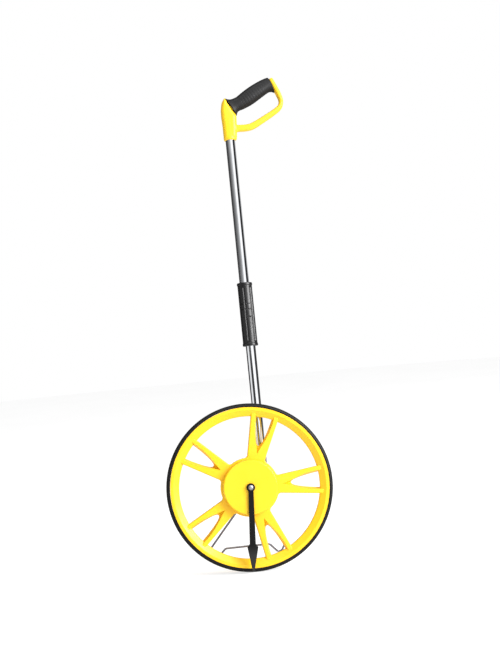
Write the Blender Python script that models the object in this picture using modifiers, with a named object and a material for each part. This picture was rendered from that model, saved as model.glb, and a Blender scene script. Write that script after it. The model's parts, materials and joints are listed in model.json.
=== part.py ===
"""Measuring wheel with a folding shaft, a D-handle, a hub counter and a wire stand.

Metres, +Z up. Everything is laid out around the axle's centre: X across the wheel, Y from the front
(the pointer's side) to the back, Z up the shaft. One empty then leans the whole tool back on its
stand, so that the tyre and the two wire feet touch z = 0.
"""

from math import asin, atan2, cos, pi, radians, sin, sqrt, tan

import bmesh
import bpy
from mathutils import Matrix, Vector

# ---------------------------------------------------------------- driving dimensions
GAP = 0.0003                      # between touching pieces
LEAN_BACK = radians(6.0)          # tool leaning on its stand

WHEEL_RADIUS = 1.0 / (2 * pi)     # one turn rolls one metre
TYRE_HALF_WIDTH = 0.010
TYRE_EDGE = 0.004
RIM_RADIUS = 0.1518
RIM_HALF_WIDTH = 0.011
RIM_LIP_RADIUS = 0.1458
RIM_BORE_RADIUS = 0.1345
RIM_INNER_HALF_WIDTH = 0.004
TURN_STEPS = 72

SPOKES = 5
SPOKE_ANGLE = radians(0.5)        # first spoke, from +X towards +Z
SPOKE_FRONT = -0.008
SPOKE_BACK = 0.006
SPOKE_HALF_AT_HUB = 0.017
SPOKE_HALF_AT_RIM = 0.0265
SPOKE_PLATE_RADIUS = 0.1405
FORK_HALF_AT_RIM = 0.0145         # half the opening between a spoke's two arms
FORK_ROOT = 0.0815
FORK_FLARE = 0.42                 # its half width grows with this power of the way out
HUB_PLATE_RADIUS = 0.0555
HUB_CORE_DEPTH = 0.002            # how far the nose and tail reach into the plate

HUB_COVER_RADIUS = 0.0525
HUB_COVER_FRONT = -0.023
HUB_COVER_WALL = 0.0022
HUB_NOSE_RADIUS = 0.011
HUB_NOSE_FRONT = -0.015
HUB_TAIL_RADIUS = 0.016
HUB_TAIL_BACK = 0.0172

AXLE_RADIUS = 0.005
BUSH_RADIUS = 0.007
RUNNING_GAP = 0.0002
POINTER_JOURNAL = 0.003
POINTER_FRONT = -0.0276
POINTER_BACK = -0.0242
POINTER_LENGTH = 0.156
POINTER_SWING = radians(-3.6)     # tip hangs a little towards -X

HOUSING_LEFT = -0.042
HOUSING_RIGHT = 0.0445
HOUSING_BOTTOM = -0.042
HOUSING_TOP = 0.036
HOUSING_WALL = 0.0025
HOUSING_FRONT = 0.017
HOUSING_BACK = 0.058
COVER_FRONT = 0.014
SOCKET_TOP = 0.030                # the tube's socket is lower than the counter's roof
SOCKET_LEFT = 0.0195
SOCKET_FLOOR = -0.012

SHAFT_X = 0.0308
SHAFT_Y = 0.036
TUBE_RADIUS = 0.0095
TUBE_WALL = 0.0012

GEAR_TEETH = 24
GEAR_PITCH_RADIUS = 0.012
GEAR_FRONT = 0.0178
GEAR_BACK = 0.0212
COUNTER_ANGLE = radians(128)
DRUMS = 5
DRUM_RADIUS = 0.0135
DRUM_WIDTH = 0.0058
DRUM_PITCH = 0.0062
DRUM_FRONT = 0.0226
COUNTER_SHAFT_RADIUS = 0.002

PIN_HEIGHT = 0.3865
PIN_OFFSET = 0.0082               # from the tube's axis towards -X
PIN_RADIUS = 0.0015
PIN_HALF = 0.0054
KNUCKLE_RADIUS = 0.0027
HINGE_BODY_RADIUS = 0.0109
TONGUE_HALF = 0.0040
HINGE_LOWER_LENGTH = 0.024
HINGE_UPPER_LENGTH = 0.0052
PLUG_LENGTH = 0.028

SLEEVE_BOTTOM = 0.271
SLEEVE_TOP = 0.3958
SLEEVE_RADIUS = 0.0143
SLEEVE_FLANGE_RADIUS = 0.0151
SLEEVE_FLANGE = 0.0045
SLEEVE_BORE = 0.0115
SLEEVE_COLLAR = 0.014
FLUTES = 6
FLUTE_RADIUS = 0.0026
FLUTE_CENTRE = 0.0014             # outside the sleeve's surface
FLUTE_TURN = radians(12)          # first flute, from +X towards +Y

HANDLE_BOTTOM = 0.6835
SOCKET_RADIUS = 0.01265
SOCKET_DEPTH = 0.046
GRIP_TILT = radians(28)
GRIP_LENGTH = 0.0970
GRIP_START = (0.008, 0.065)       # on the grip's axis, from the socket's bottom centre
CORE_RADIUS = 0.0075
GUARD_HALF_DEPTH = 0.0105

BUTTON_X = 0.0100
BUTTON_Y = 0.038
BUTTON_HALF_X = 0.0045
BUTTON_HALF_Y = 0.008
BUTTON_FLANGE = 0.0013            # wider than the button's hole on each side
WINDOW_HALF_X = 0.0115
TUBE_SCREW_Z = 0.016

STAND_WIRE = 0.002
STAND_PIVOT_Y = 0.061
STAND_PIVOT_Z = -0.039
STAND_CENTRE_X = -0.007
STAND_FOOT_Y = 0.150
STAND_KNEE_HALF = 0.0765          # the legs' widest places, and how far they lie above the feet
STAND_KNEE_RISE = 0.031
STAND_FOOT_HALF = 0.067
STAND_BAR_HALF = 0.0445
STAND_BAR_RISE = 0.0305
LUG_HALF_WIDTH = 0.0075

COLOURS = {
    "yellow": ((0.85, 0.62, 0.02), 0.35, 0.0),
    "black": ((0.03, 0.03, 0.03), 0.5, 0.0),
    "rubber": ((0.05, 0.05, 0.05), 0.75, 0.0),
    "chrome": ((0.8, 0.8, 0.82), 0.12, 1.0),
    "steel": ((0.55, 0.56, 0.58), 0.35, 1.0),
    "brass": ((0.75, 0.55, 0.25), 0.35, 1.0),
    "white": ((0.85, 0.85, 0.83), 0.5, 0.0),
    "glass": ((0.8, 0.85, 0.88), 0.05, 0.0),
    "red": ((0.6, 0.03, 0.02), 0.45, 0.0),
}

for old in list(bpy.data.objects):
    bpy.data.objects.remove(old, do_unlink=True)

PARTS = bpy.data.collections.new("measuring_wheel")
CUTTERS = bpy.data.collections.new("cutters")
bpy.context.scene.collection.children.link(PARTS)
bpy.context.scene.collection.children.link(CUTTERS)


# ---------------------------------------------------------------- helpers
def empty(name, parent=None, location=(0, 0, 0), rotation=(0, 0, 0)):
    """A joint's axis or a group's frame."""
    obj = bpy.data.objects.new(name, None)
    PARTS.objects.link(obj)
    obj.parent = parent
    obj.location = location
    obj.rotation_euler = rotation
    return obj


def finish_material(name, colour):
    base, roughness, metallic = COLOURS[colour]
    material = bpy.data.materials.new(name)
    material.use_nodes = True
    shader = material.node_tree.nodes["Principled BSDF"]
    shader.inputs["Base Color"].default_value = (*base, 1.0)
    shader.inputs["Roughness"].default_value = roughness
    shader.inputs["Metallic"].default_value = metallic
    return material


def add_part(name, mesh, colour, parent, location=(0, 0, 0), rotation=(0, 0, 0)):
    """One named sub-part with its own material."""
    obj = bpy.data.objects.new(name, mesh)
    PARTS.objects.link(obj)
    obj.parent = parent
    obj.location = location
    obj.rotation_euler = rotation
    mesh.materials.clear()
    mesh.materials.append(finish_material(name, colour))
    mesh.shade_smooth()
    mesh.set_sharp_from_angle(angle=radians(30))
    return obj


def add_tool(name, mesh, parent, location=(0, 0, 0), rotation=(0, 0, 0)):
    """A solid that is only there to be cut away or joined on."""
    obj = bpy.data.objects.new(name, mesh)
    CUTTERS.objects.link(obj)
    obj.parent = parent
    obj.location = location
    obj.rotation_euler = rotation
    obj.hide_render = True
    obj.display_type = "WIRE"
    return obj


def combine(obj, tool, operation):
    modifier = obj.modifiers.new(tool.name, "BOOLEAN")
    modifier.operation = operation
    modifier.object = tool
    modifier.solver = "EXACT"


def join(obj, *tools):
    for tool in tools:
        combine(obj, tool, "UNION")


def cut(obj, *tools):
    for tool in tools:
        combine(obj, tool, "DIFFERENCE")


def bevel(obj, width, segments=2, angle=40):
    modifier = obj.modifiers.new("rounded_edges", "BEVEL")
    modifier.width = width
    modifier.segments = segments
    modifier.limit_method = "ANGLE"
    modifier.angle_limit = radians(angle)


def box_mesh(low, high):
    """A box between two corners."""
    low, high = Vector(low), Vector(high)
    size = high - low
    shape = bmesh.new()
    bmesh.ops.create_cube(shape, size=1.0, matrix=Matrix.Translation((low + high) / 2)
                          @ Matrix.Diagonal((*size, 1.0)))
    return bake(shape)


def bar_mesh(radius, start, end, sides=24):
    """A round bar between two points."""
    start, end = Vector(start), Vector(end)
    along = end - start
    turn = Vector((0, 0, 1)).rotation_difference(along).to_matrix().to_4x4()
    shape = bmesh.new()
    bmesh.ops.create_cone(shape, cap_ends=True, segments=sides, radius1=radius, radius2=radius,
                          depth=along.length, matrix=Matrix.Translation((start + end) / 2) @ turn)
    return bake(shape)


def bake(shape):
    mesh = bpy.data.meshes.new("shape")
    shape.to_mesh(mesh)
    shape.free()
    return mesh


def profile_mesh(points, closed, along_y):
    """A turned shape's half section: (radius, place along the axis) from the top or front down."""
    shape = bmesh.new()
    sign = -1 if along_y else 1
    verts = [shape.verts.new((radius, 0, sign * place)) for radius, place in points]
    for first, second in zip(verts, verts[1:]):
        shape.edges.new((first, second))
    if closed:
        shape.edges.new((verts[-1], verts[0]))
    return bake(shape)


def turned(name, points, colour, parent, location=(0, 0, 0), closed=False, along_y=True, steps=32):
    """A part turned about Y (front to back), or about Z when along_y is off."""
    rotation = (pi / 2, 0, 0) if along_y else (0, 0, 0)
    obj = add_part(name, profile_mesh(points, closed, along_y), colour, parent, location, rotation)
    add_screw(obj, steps)
    return obj


def turned_tool(name, points, parent, location=(0, 0, 0), closed=False, along_y=True, steps=32):
    rotation = (pi / 2, 0, 0) if along_y else (0, 0, 0)
    obj = add_tool(name, profile_mesh(points, closed, along_y), parent, location, rotation)
    add_screw(obj, steps)
    return obj


def add_screw(obj, steps):
    modifier = obj.modifiers.new("turned", "SCREW")
    modifier.axis = "Z"
    modifier.steps = steps
    modifier.render_steps = steps
    modifier.use_merge_vertices = True
    modifier.merge_threshold = 0.00001
    modifier.use_smooth_shade = True


def arc(centre, radius, start, end, steps):
    """Points on an arc, both ends included."""
    turns = [start + (end - start) * index / steps for index in range(steps + 1)]
    return [(centre[0] + radius * cos(turn), centre[1] + radius * sin(turn)) for turn in turns]


def rounded(corners, steps=4, closed=True):
    """Outline through (x, z, radius) corners, each replaced by an arc of that radius."""
    outline = []
    count = len(corners)
    for index, (x, z, radius) in enumerate(corners):
        here = Vector((x, z))
        if radius == 0 or (not closed and index in (0, count - 1)):
            outline.append((x, z))
            continue
        before = (Vector(corners[index - 1][:2]) - here).normalized()
        after = (Vector(corners[(index + 1) % count][:2]) - here).normalized()
        half = before.angle(after) / 2
        centre = here + (before + after).normalized() * (radius / sin(half))
        first = here + before * (radius / tan(half)) - centre
        last = here + after * (radius / tan(half)) - centre
        start = atan2(first.y, first.x)
        sweep = (atan2(last.y, last.x) - start + pi) % (2 * pi) - pi
        outline += arc(centre, radius, start, start + sweep, steps)
    return outline


def circle(radius, steps, centre=(0, 0)):
    return arc(centre, radius, 0, 2 * pi * (steps - 1) / steps, steps - 1)


def flat_mesh(outlines, low, high):
    """Flat shape: closed outlines in X and Z, the later ones holes, from y = low to y = high."""
    curve = bpy.data.curves.new("outline", "CURVE")
    curve.dimensions = "2D"
    curve.fill_mode = "BOTH"
    curve.extrude = (high - low) / 2
    for outline in outlines:
        spline = curve.splines.new("POLY")
        spline.points.add(len(outline) - 1)
        for point, (x, z) in zip(spline.points, outline):
            point.co = (x, z, 0, 1)
        spline.use_cyclic_u = True
    holder = bpy.data.objects.new("outline", curve)
    CUTTERS.objects.link(holder)
    bpy.context.view_layer.update()
    mesh = bpy.data.meshes.new_from_object(holder.evaluated_get(bpy.context.evaluated_depsgraph_get()))
    bpy.data.objects.remove(holder, do_unlink=True)
    bpy.data.curves.remove(curve)
    shape = bmesh.new()
    shape.from_mesh(mesh)
    bmesh.ops.remove_doubles(shape, verts=shape.verts, dist=0.00001)
    bmesh.ops.recalc_face_normals(shape, faces=shape.faces)
    shape.transform(Matrix.Translation((0, (low + high) / 2, 0)) @ Matrix.Rotation(pi / 2, 4, "X"))
    shape.to_mesh(mesh)
    shape.free()
    return mesh


def screw_points(head_radius, head_front, head_back, shank_radius, tip):
    """Half section of a pan-head screw along Y, with a dimpled head."""
    return [(0, head_front + 0.0006), (0.25 * head_radius, head_front), (0.75 * head_radius, head_front),
            (head_radius, (head_front + head_back) / 2), (head_radius, head_back),
            (shank_radius, head_back), (shank_radius, tip), (0, tip)]


# ---------------------------------------------------------------- frames and joint axes
tool_frame = empty("tool_frame", rotation=(-LEAN_BACK, 0, 0))
wheel_axis = empty("wheel_axis", tool_frame)
pointer_axis = empty("pointer_axis", tool_frame, rotation=(0, -POINTER_SWING, 0))

COUNTER_X = 2 * GEAR_PITCH_RADIUS * cos(COUNTER_ANGLE)
COUNTER_Z = 2 * GEAR_PITCH_RADIUS * sin(COUNTER_ANGLE)
counter_axis = empty("counter_axis", tool_frame, (COUNTER_X, 0, COUNTER_Z))

fold_axis = empty("fold_axis", tool_frame, (SHAFT_X - PIN_OFFSET, SHAFT_Y, PIN_HEIGHT))
sleeve_axis = empty("sleeve_axis", tool_frame, (SHAFT_X, SHAFT_Y, SLEEVE_BOTTOM))
stand_axis = empty("stand_axis", tool_frame, (STAND_CENTRE_X, STAND_PIVOT_Y, STAND_PIVOT_Z))


# ---------------------------------------------------------------- wheel
def make_tyre():
    edge = TYRE_EDGE
    corner = (WHEEL_RADIUS - edge, TYRE_HALF_WIDTH - edge)
    front = [(r, -y) for r, y in arc(corner, edge, pi / 2, 0, 2)]
    back = arc(corner, edge, 0, pi / 2, 2)
    inner = RIM_RADIUS + GAP
    points = [(inner, -TYRE_HALF_WIDTH), *front, *back, (inner, TYRE_HALF_WIDTH)]
    turned("tyre", points, "rubber", wheel_axis, closed=True, steps=TURN_STEPS)


def polar(radius, angle):
    return radius * cos(angle), radius * sin(angle)


def spoke_window(angle):
    """Big opening between a spoke and the next one."""
    half_step = pi / SPOKES
    outline = []
    for side in (-1, 1):
        edge_angle = side * half_step

        def on_edge(radius, half_width):
            reach = sqrt(radius ** 2 - half_width ** 2)
            across = Vector((-sin(edge_angle), cos(edge_angle))) * -side * half_width
            return Vector((cos(edge_angle), sin(edge_angle))) * reach + across

        inner = on_edge(HUB_PLATE_RADIUS, SPOKE_HALF_AT_HUB)
        outer = on_edge(RIM_BORE_RADIUS, SPOKE_HALF_AT_RIM)
        outline.append([(*inner, 0.005), (*outer, 0.004)])
    first, second = outline
    start = atan2(first[1][1], first[1][0])
    end = atan2(second[1][1], second[1][0])
    rim = [(x, z, 0) for x, z in arc((0, 0), RIM_BORE_RADIUS, start, end, 8)[1:-1]]
    hub_start = atan2(second[0][1], second[0][0])
    hub_end = atan2(first[0][1], first[0][0])
    hub = [(x, z, 0) for x, z in arc((0, 0), HUB_PLATE_RADIUS, hub_start, hub_end, 4)[1:-1]]
    shape = rounded([first[0], first[1], *rim, second[1], second[0], *hub], steps=3)
    middle = angle + half_step
    return [(x * cos(middle) - z * sin(middle), x * sin(middle) + z * cos(middle)) for x, z in shape]


def spoke_fork(angle):
    """Opening between a spoke's arms: a round root that flares out to the rim."""
    steps = 6
    reach = sqrt(RIM_BORE_RADIUS ** 2 - FORK_HALF_AT_RIM ** 2)
    side = []
    for step in range(1, steps + 1):
        share = (step / steps) ** 2
        side.append((FORK_ROOT + (reach - FORK_ROOT) * share, FORK_HALF_AT_RIM * share ** FORK_FLARE))
    shape = [(FORK_ROOT, 0), *[(x, -z) for x, z in side], (RIM_BORE_RADIUS, 0), *reversed(side)]
    return [(x * cos(angle) - z * sin(angle), x * sin(angle) + z * cos(angle)) for x, z in shape]


def make_wheel():
    half = RIM_HALF_WIDTH
    inner_half = RIM_INNER_HALF_WIDTH
    points = [(RIM_RADIUS, -half), (RIM_RADIUS, half), (RIM_LIP_RADIUS, half),
              (RIM_BORE_RADIUS, inner_half), (RIM_BORE_RADIUS, -inner_half), (RIM_LIP_RADIUS, -half)]
    rim = turned("wheel", points, "yellow", wheel_axis, closed=True, steps=TURN_STEPS)

    angles = [SPOKE_ANGLE + 2 * pi * index / SPOKES for index in range(SPOKES)]
    holes = [spoke_window(angle) for angle in angles] + [spoke_fork(angle) for angle in angles]
    plate = flat_mesh([circle(SPOKE_PLATE_RADIUS, TURN_STEPS), *holes], SPOKE_FRONT, SPOKE_BACK)
    step = -HUB_CORE_DEPTH
    nose = [(0, HUB_NOSE_FRONT), (HUB_NOSE_RADIUS, HUB_NOSE_FRONT), (HUB_NOSE_RADIUS, step),
            (HUB_TAIL_RADIUS, step), (HUB_TAIL_RADIUS, HUB_TAIL_BACK), (0, HUB_TAIL_BACK)]
    join(rim, add_tool("spoke_plate", plate, wheel_axis), turned_tool("hub_core", nose, wheel_axis))
    bore = bar_mesh(BUSH_RADIUS + GAP, (0, -0.03, 0), (0, 0.03, 0))
    cut(rim, add_tool("hub_bore", bore, wheel_axis))


def make_hub_cover():
    face, wall = HUB_COVER_FRONT, HUB_COVER_WALL
    hole = AXLE_RADIUS + 0.0012
    outer = arc((HUB_COVER_RADIUS - 0.006, -face - 0.006), 0.006, pi / 2, 0, 2)
    inner = arc((HUB_COVER_RADIUS - 0.006, -face - 0.006), 0.006 - wall, 0, pi / 2, 2)
    seat = SPOKE_FRONT - GAP
    points = [(hole, face), *[(r, -y) for r, y in outer], (HUB_COVER_RADIUS, seat),
              (HUB_COVER_RADIUS - wall, seat), *[(r, -y) for r, y in inner], (hole, face + wall)]
    turned("hub_cover", points, "yellow", wheel_axis, closed=True, steps=40)


def make_bush(name, front, back):
    bore = AXLE_RADIUS + RUNNING_GAP
    points = [(BUSH_RADIUS, front), (BUSH_RADIUS, back), (bore, back), (bore, front)]
    turned(name, points, "brass", wheel_axis, closed=True, steps=24)


def gear_mesh(phase, bore):
    """Spur gear with straight-sided teeth, a tooth centred on the phase angle."""
    root, tip = GEAR_PITCH_RADIUS - 0.0013, GEAR_PITCH_RADIUS + 0.0008
    outline = []
    for tooth in range(GEAR_TEETH):
        middle = phase + 2 * pi * tooth / GEAR_TEETH
        for radius, across in ((root, -0.00095), (tip, -0.00035), (tip, 0.00035), (root, 0.00095)):
            outline.append(polar(radius, middle + across / radius))
    return flat_mesh([outline, circle(bore, 24)], GEAR_FRONT, GEAR_BACK)


def make_gears():
    add_part("drive_gear", gear_mesh(COUNTER_ANGLE, AXLE_RADIUS + 0.0006), "white", wheel_axis)
    half_tooth = pi / GEAR_TEETH
    mesh = gear_mesh(COUNTER_ANGLE + pi + half_tooth, COUNTER_SHAFT_RADIUS + RUNNING_GAP)
    add_part("counter_gear", mesh, "white", counter_axis)


# ---------------------------------------------------------------- axle and pointer
def make_axle():
    thread = 0.004
    points = [(0, -0.018), (0.0018, -0.018), (0.0018, -0.0279), (POINTER_JOURNAL, -0.0279),
              (POINTER_JOURNAL, HUB_COVER_FRONT - 0.0006), (AXLE_RADIUS, HUB_COVER_FRONT - 0.0006),
              (AXLE_RADIUS, 0.050), (thread, 0.050), (thread, 0.0568), (0, 0.0568)]
    turned("axle", points, "steel", tool_frame, steps=20)
    nut = flat_mesh([circle(0.0078, 6), circle(thread + GAP, 24)], 0.0512, 0.0556)
    add_part("axle_nut", nut, "steel", tool_frame)
    turned("pointer_screw", screw_points(0.0045, -0.0312, -0.0288, 0.0015, -0.019), "steel", tool_frame,
           steps=16)
    washer = [(0.0058, -0.0285), (0.0058, -0.0282), (0.0018, -0.0282), (0.0018, -0.0285)]
    turned("pointer_washer", washer, "steel", tool_frame, closed=True, steps=16)


def make_pointer():
    """Flat bar from the ring on the axle down to an arrowhead at the tyre."""
    ring = 0.008
    neck_half, end_half = 0.0048, 0.0058
    shoulder, widest, tip_half = 0.105, 0.111, 0.0016
    turn = asin(neck_half / ring)
    loop = arc((0, 0), ring, -pi / 2 + turn, 3 * pi / 2 - turn, 16)
    half = [(-end_half, -shoulder), (-0.0103, -widest), (-tip_half, -POINTER_LENGTH)]
    outline = [*loop, *half, *[(-x, z) for x, z in reversed(half)]]
    hole = circle(POINTER_JOURNAL + RUNNING_GAP, 20)
    add_part("pointer", flat_mesh([outline, hole], POINTER_FRONT, POINTER_BACK), "black", pointer_axis)


# ---------------------------------------------------------------- counter housing
SCREW_PLACES = [(-0.0345, -0.0345), (-0.0345, 0.0285), (0.0385, 0.0235), (0.0385, -0.0345)]


def housing_outline(inset=0.0):
    left, right = HOUSING_LEFT + inset, HOUSING_RIGHT - inset
    bottom = HOUSING_BOTTOM + inset
    return rounded([(left, bottom, 0.012 - inset), (right, bottom, 0.013 - inset),
                    (right, SOCKET_TOP - inset, 0.003), (SOCKET_LEFT, SOCKET_TOP - inset, 0),
                    (SOCKET_LEFT, HOUSING_TOP - inset, 0.003), (left, HOUSING_TOP - inset, 0.013 - inset)])


def make_housing():
    """Moulded box, open at the front, with the tube's socket in its right side."""
    wall = HOUSING_WALL
    body = add_part("counter_housing", flat_mesh([housing_outline()], HOUSING_FRONT, HOUSING_BACK),
                    "black", tool_frame)
    floor, roof = HOUSING_BOTTOM + wall, HOUSING_TOP - wall
    left, right = HOUSING_LEFT + wall, SOCKET_LEFT - wall
    back = HOUSING_BACK - wall
    room = rounded([(left, floor, 0.0095), (right, floor, 0.002), (right, roof, 0.002),
                    (left, roof, 0.0105)])
    cut(body, add_tool("counter_room", flat_mesh([room], HOUSING_FRONT - 0.001, back), tool_frame))

    axle_boss = bar_mesh(0.010, (0, 0.026, 0), (0, HOUSING_BACK - 0.001, 0))
    shaft_boss = bar_mesh(0.0045, (COUNTER_X, 0.0545, COUNTER_Z),
                          (COUNTER_X, HOUSING_BACK - 0.001, COUNTER_Z))
    lug = box_mesh((STAND_CENTRE_X - LUG_HALF_WIDTH, HOUSING_BACK - 0.006, STAND_PIVOT_Z - 0.006),
                   (STAND_CENTRE_X + LUG_HALF_WIDTH, STAND_PIVOT_Y + 0.006, STAND_PIVOT_Z + 0.006))
    lug_tool = add_tool("stand_lug", lug, tool_frame)
    bevel(lug_tool, 0.003)
    join(body, add_tool("axle_boss", axle_boss, tool_frame),
         add_tool("counter_shaft_boss", shaft_boss, tool_frame), lug_tool)
    for number, (x, z) in enumerate(SCREW_PLACES[:2], 1):
        post = bar_mesh(0.0042, (x, HOUSING_FRONT + 0.001, z), (x, back + 0.001, z), sides=16)
        join(body, add_tool(f"screw_post_{number}", post, tool_frame))

    hole_x, hole_y = BUTTON_HALF_X + GAP, BUTTON_HALF_Y + GAP
    cut(body,
        add_tool("axle_bore", bar_mesh(AXLE_RADIUS + GAP, (0, 0.02, 0), (0, 0.055, 0)), tool_frame),
        add_tool("nut_pocket", bar_mesh(0.0092, (0, 0.0508, 0), (0, 0.062, 0)), tool_frame),
        add_tool("counter_shaft_bore",
                 bar_mesh(COUNTER_SHAFT_RADIUS + GAP, (COUNTER_X, 0.05, COUNTER_Z),
                          (COUNTER_X, 0.0567, COUNTER_Z), sides=16), tool_frame),
        add_tool("tube_bore", bar_mesh(TUBE_RADIUS + GAP, (SHAFT_X, SHAFT_Y, SOCKET_FLOOR),
                                       (SHAFT_X, SHAFT_Y, SOCKET_TOP + 0.01)), tool_frame),
        add_tool("stand_bore",
                 bar_mesh(STAND_WIRE + GAP, (STAND_CENTRE_X - 0.02, STAND_PIVOT_Y, STAND_PIVOT_Z),
                          (STAND_CENTRE_X + 0.02, STAND_PIVOT_Y, STAND_PIVOT_Z), sides=16), tool_frame),
        add_tool("window_hole", box_mesh(window_low(0), window_high(0)), tool_frame),
        add_tool("button_hole", box_mesh((BUTTON_X - hole_x, BUTTON_Y - hole_y, 0.031),
                                         (BUTTON_X + hole_x, BUTTON_Y + hole_y, 0.04)), tool_frame),
        add_tool("tube_screw_bore", bar_mesh(0.0018, (SHAFT_X, 0.044, TUBE_SCREW_Z),
                                             (SHAFT_X, 0.06, TUBE_SCREW_Z), sides=12), tool_frame))
    for number, (x, z) in enumerate(SCREW_PLACES, 1):
        hole = bar_mesh(0.0015 + GAP, (x, HOUSING_FRONT - 0.002, z), (x, 0.0252, z), sides=12)
        cut(body, add_tool(f"housing_screw_hole_{number}", hole, tool_frame))


def window_low(inset):
    return COUNTER_X - WINDOW_HALF_X + inset, DRUM_FRONT - 0.0004 + inset, HOUSING_TOP - 0.004 + inset


def window_high(inset):
    return COUNTER_X + WINDOW_HALF_X - inset, DRUM_FRONT + 0.0314 - inset, HOUSING_TOP + 0.002 - inset


def make_housing_cover():
    cover_back = HOUSING_FRONT - GAP
    holes = [circle(HUB_TAIL_RADIUS + 0.0012, 32),
             circle(COUNTER_SHAFT_RADIUS + GAP, 16, (COUNTER_X, COUNTER_Z))]
    holes += [circle(0.0018, 12, place) for place in SCREW_PLACES]
    add_part("housing_cover", flat_mesh([housing_outline(), *holes], COVER_FRONT, cover_back), "black",
             tool_frame)
    for number, (x, z) in enumerate(SCREW_PLACES, 1):
        turned(f"cover_screw_{number}", screw_points(0.003, 0.0118, COVER_FRONT - GAP, 0.0015, 0.0245),
               "steel", tool_frame, (x, 0, z), steps=12)


def make_window_and_button():
    low, high = Vector(window_low(GAP)), Vector(window_high(GAP))
    low.z, high.z = HOUSING_TOP - 0.0018, HOUSING_TOP - 0.0002
    add_part("counter_window", box_mesh(low, high), "glass", tool_frame)
    top = box_mesh((-BUTTON_HALF_X, -BUTTON_HALF_Y, -0.003), (BUTTON_HALF_X, BUTTON_HALF_Y, 0.0035))
    button = add_part("reset_button", top, "red", tool_frame, (BUTTON_X, BUTTON_Y, HOUSING_TOP))
    half_x, half_y = BUTTON_HALF_X + BUTTON_FLANGE, BUTTON_HALF_Y + BUTTON_FLANGE
    flange = box_mesh((-half_x, -half_y, -0.0055), (half_x, half_y, -HOUSING_WALL - GAP))
    join(button, add_tool("button_flange", flange, tool_frame, (BUTTON_X, BUTTON_Y, HOUSING_TOP)))


def make_counter():
    points = [(0, 0.0146), (COUNTER_SHAFT_RADIUS, 0.0146), (COUNTER_SHAFT_RADIUS, 0.0563), (0, 0.0563)]
    turned("counter_shaft", points, "steel", counter_axis, steps=16)
    bore = COUNTER_SHAFT_RADIUS + RUNNING_GAP
    for number in range(DRUMS):
        front = DRUM_FRONT + DRUM_PITCH * number
        back = front + DRUM_WIDTH
        section = [(DRUM_RADIUS, front), (DRUM_RADIUS, back), (bore, back), (bore, front)]
        turned(f"drum_{number + 1}", section, "white", counter_axis, closed=True, steps=28)


# ---------------------------------------------------------------- folding shaft
def make_tube(name, bottom, top, parent, location):
    inner = TUBE_RADIUS - TUBE_WALL
    points = [(TUBE_RADIUS, top), (TUBE_RADIUS, bottom), (inner, bottom), (inner, top)]
    turned(name, points, "chrome", parent, location, closed=True, along_y=False, steps=32)


def hinge_half(name, sign, length):
    """Plug, collar and knuckle. sign is 1 above the pin and -1 below it."""
    at_tube = (PIN_OFFSET, 0, 0)
    collar = bar_mesh(HINGE_BODY_RADIUS, (0, 0, sign * GAP), (0, 0, sign * length), sides=32)
    half = add_part(name, collar, "black", fold_axis, at_tube)
    plug = bar_mesh(TUBE_RADIUS - TUBE_WALL - GAP, (0, 0, sign * (length - 0.001)),
                    (0, 0, sign * (length + PLUG_LENGTH)))
    reach = HINGE_BODY_RADIUS + 0.002
    far = PIN_OFFSET - 0.0003
    flat = box_mesh((-far - reach, -reach, -0.04), (-far, reach, 0.04))
    join(half, add_tool(name + "_plug", plug, fold_axis, at_tube))
    cut(half, add_tool(name + "_flat", flat, fold_axis, at_tube))

    cheek_in, cheek_out = TONGUE_HALF + GAP, 0.0070
    knuckle_gap = KNUCKLE_RADIUS + GAP
    if sign > 0:
        cut(half, *[add_tool(f"{name}_relief_{side}", bar_mesh(knuckle_gap, (0, side * TONGUE_HALF, 0),
                    (0, side * reach, 0)), fold_axis) for side in (-1, 1)])
        knuckles = [add_tool(name + "_tongue", bar_mesh(KNUCKLE_RADIUS, (0, -TONGUE_HALF, 0),
                                                        (0, TONGUE_HALF, 0)), fold_axis)]
    else:
        cut(half, add_tool(name + "_slot", bar_mesh(knuckle_gap, (0, -cheek_in, 0), (0, cheek_in, 0)),
                           fold_axis))
        knuckles = [add_tool(f"{name}_cheek_{side}", bar_mesh(KNUCKLE_RADIUS, (0, side * cheek_in, 0),
                    (0, side * cheek_out, 0)), fold_axis) for side in (-1, 1)]
    join(half, *knuckles)
    envelope = bar_mesh(HINGE_BODY_RADIUS + GAP, (0, 0, -0.1), (0, 0, 0.1), sides=32)
    combine(half, add_tool(name + "_envelope", envelope, fold_axis, at_tube), "INTERSECT")
    bore = bar_mesh(PIN_RADIUS + RUNNING_GAP, (0, -0.02, 0), (0, 0.02, 0), sides=16)
    cut(half, add_tool(name + "_pin_bore", bore, fold_axis))


def make_shaft():
    lower_top = PIN_HEIGHT - HINGE_LOWER_LENGTH - GAP
    make_tube("lower_tube", SOCKET_FLOOR + GAP, lower_top, tool_frame, (SHAFT_X, SHAFT_Y, 0))
    upper_bottom = HINGE_UPPER_LENGTH + GAP
    upper_top = HANDLE_BOTTOM + SOCKET_DEPTH - GAP - PIN_HEIGHT
    make_tube("upper_tube", upper_bottom, upper_top, fold_axis, (PIN_OFFSET, 0, 0))
    hinge_half("hinge_fork", -1, HINGE_LOWER_LENGTH)
    hinge_half("hinge_tongue", 1, HINGE_UPPER_LENGTH)
    turned("hinge_pin", [(0, -PIN_HALF), (PIN_RADIUS, -PIN_HALF), (PIN_RADIUS, PIN_HALF), (0, PIN_HALF)],
           "steel", fold_axis, steps=16)
    tube_screw = [(r, -y) for r, y in screw_points(0.003, -0.0600, -0.0583, 0.0015, -0.0472)]
    turned("tube_screw", list(reversed(tube_screw)), "steel", tool_frame, (SHAFT_X, 0, TUBE_SCREW_Z),
           steps=12)


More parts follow.
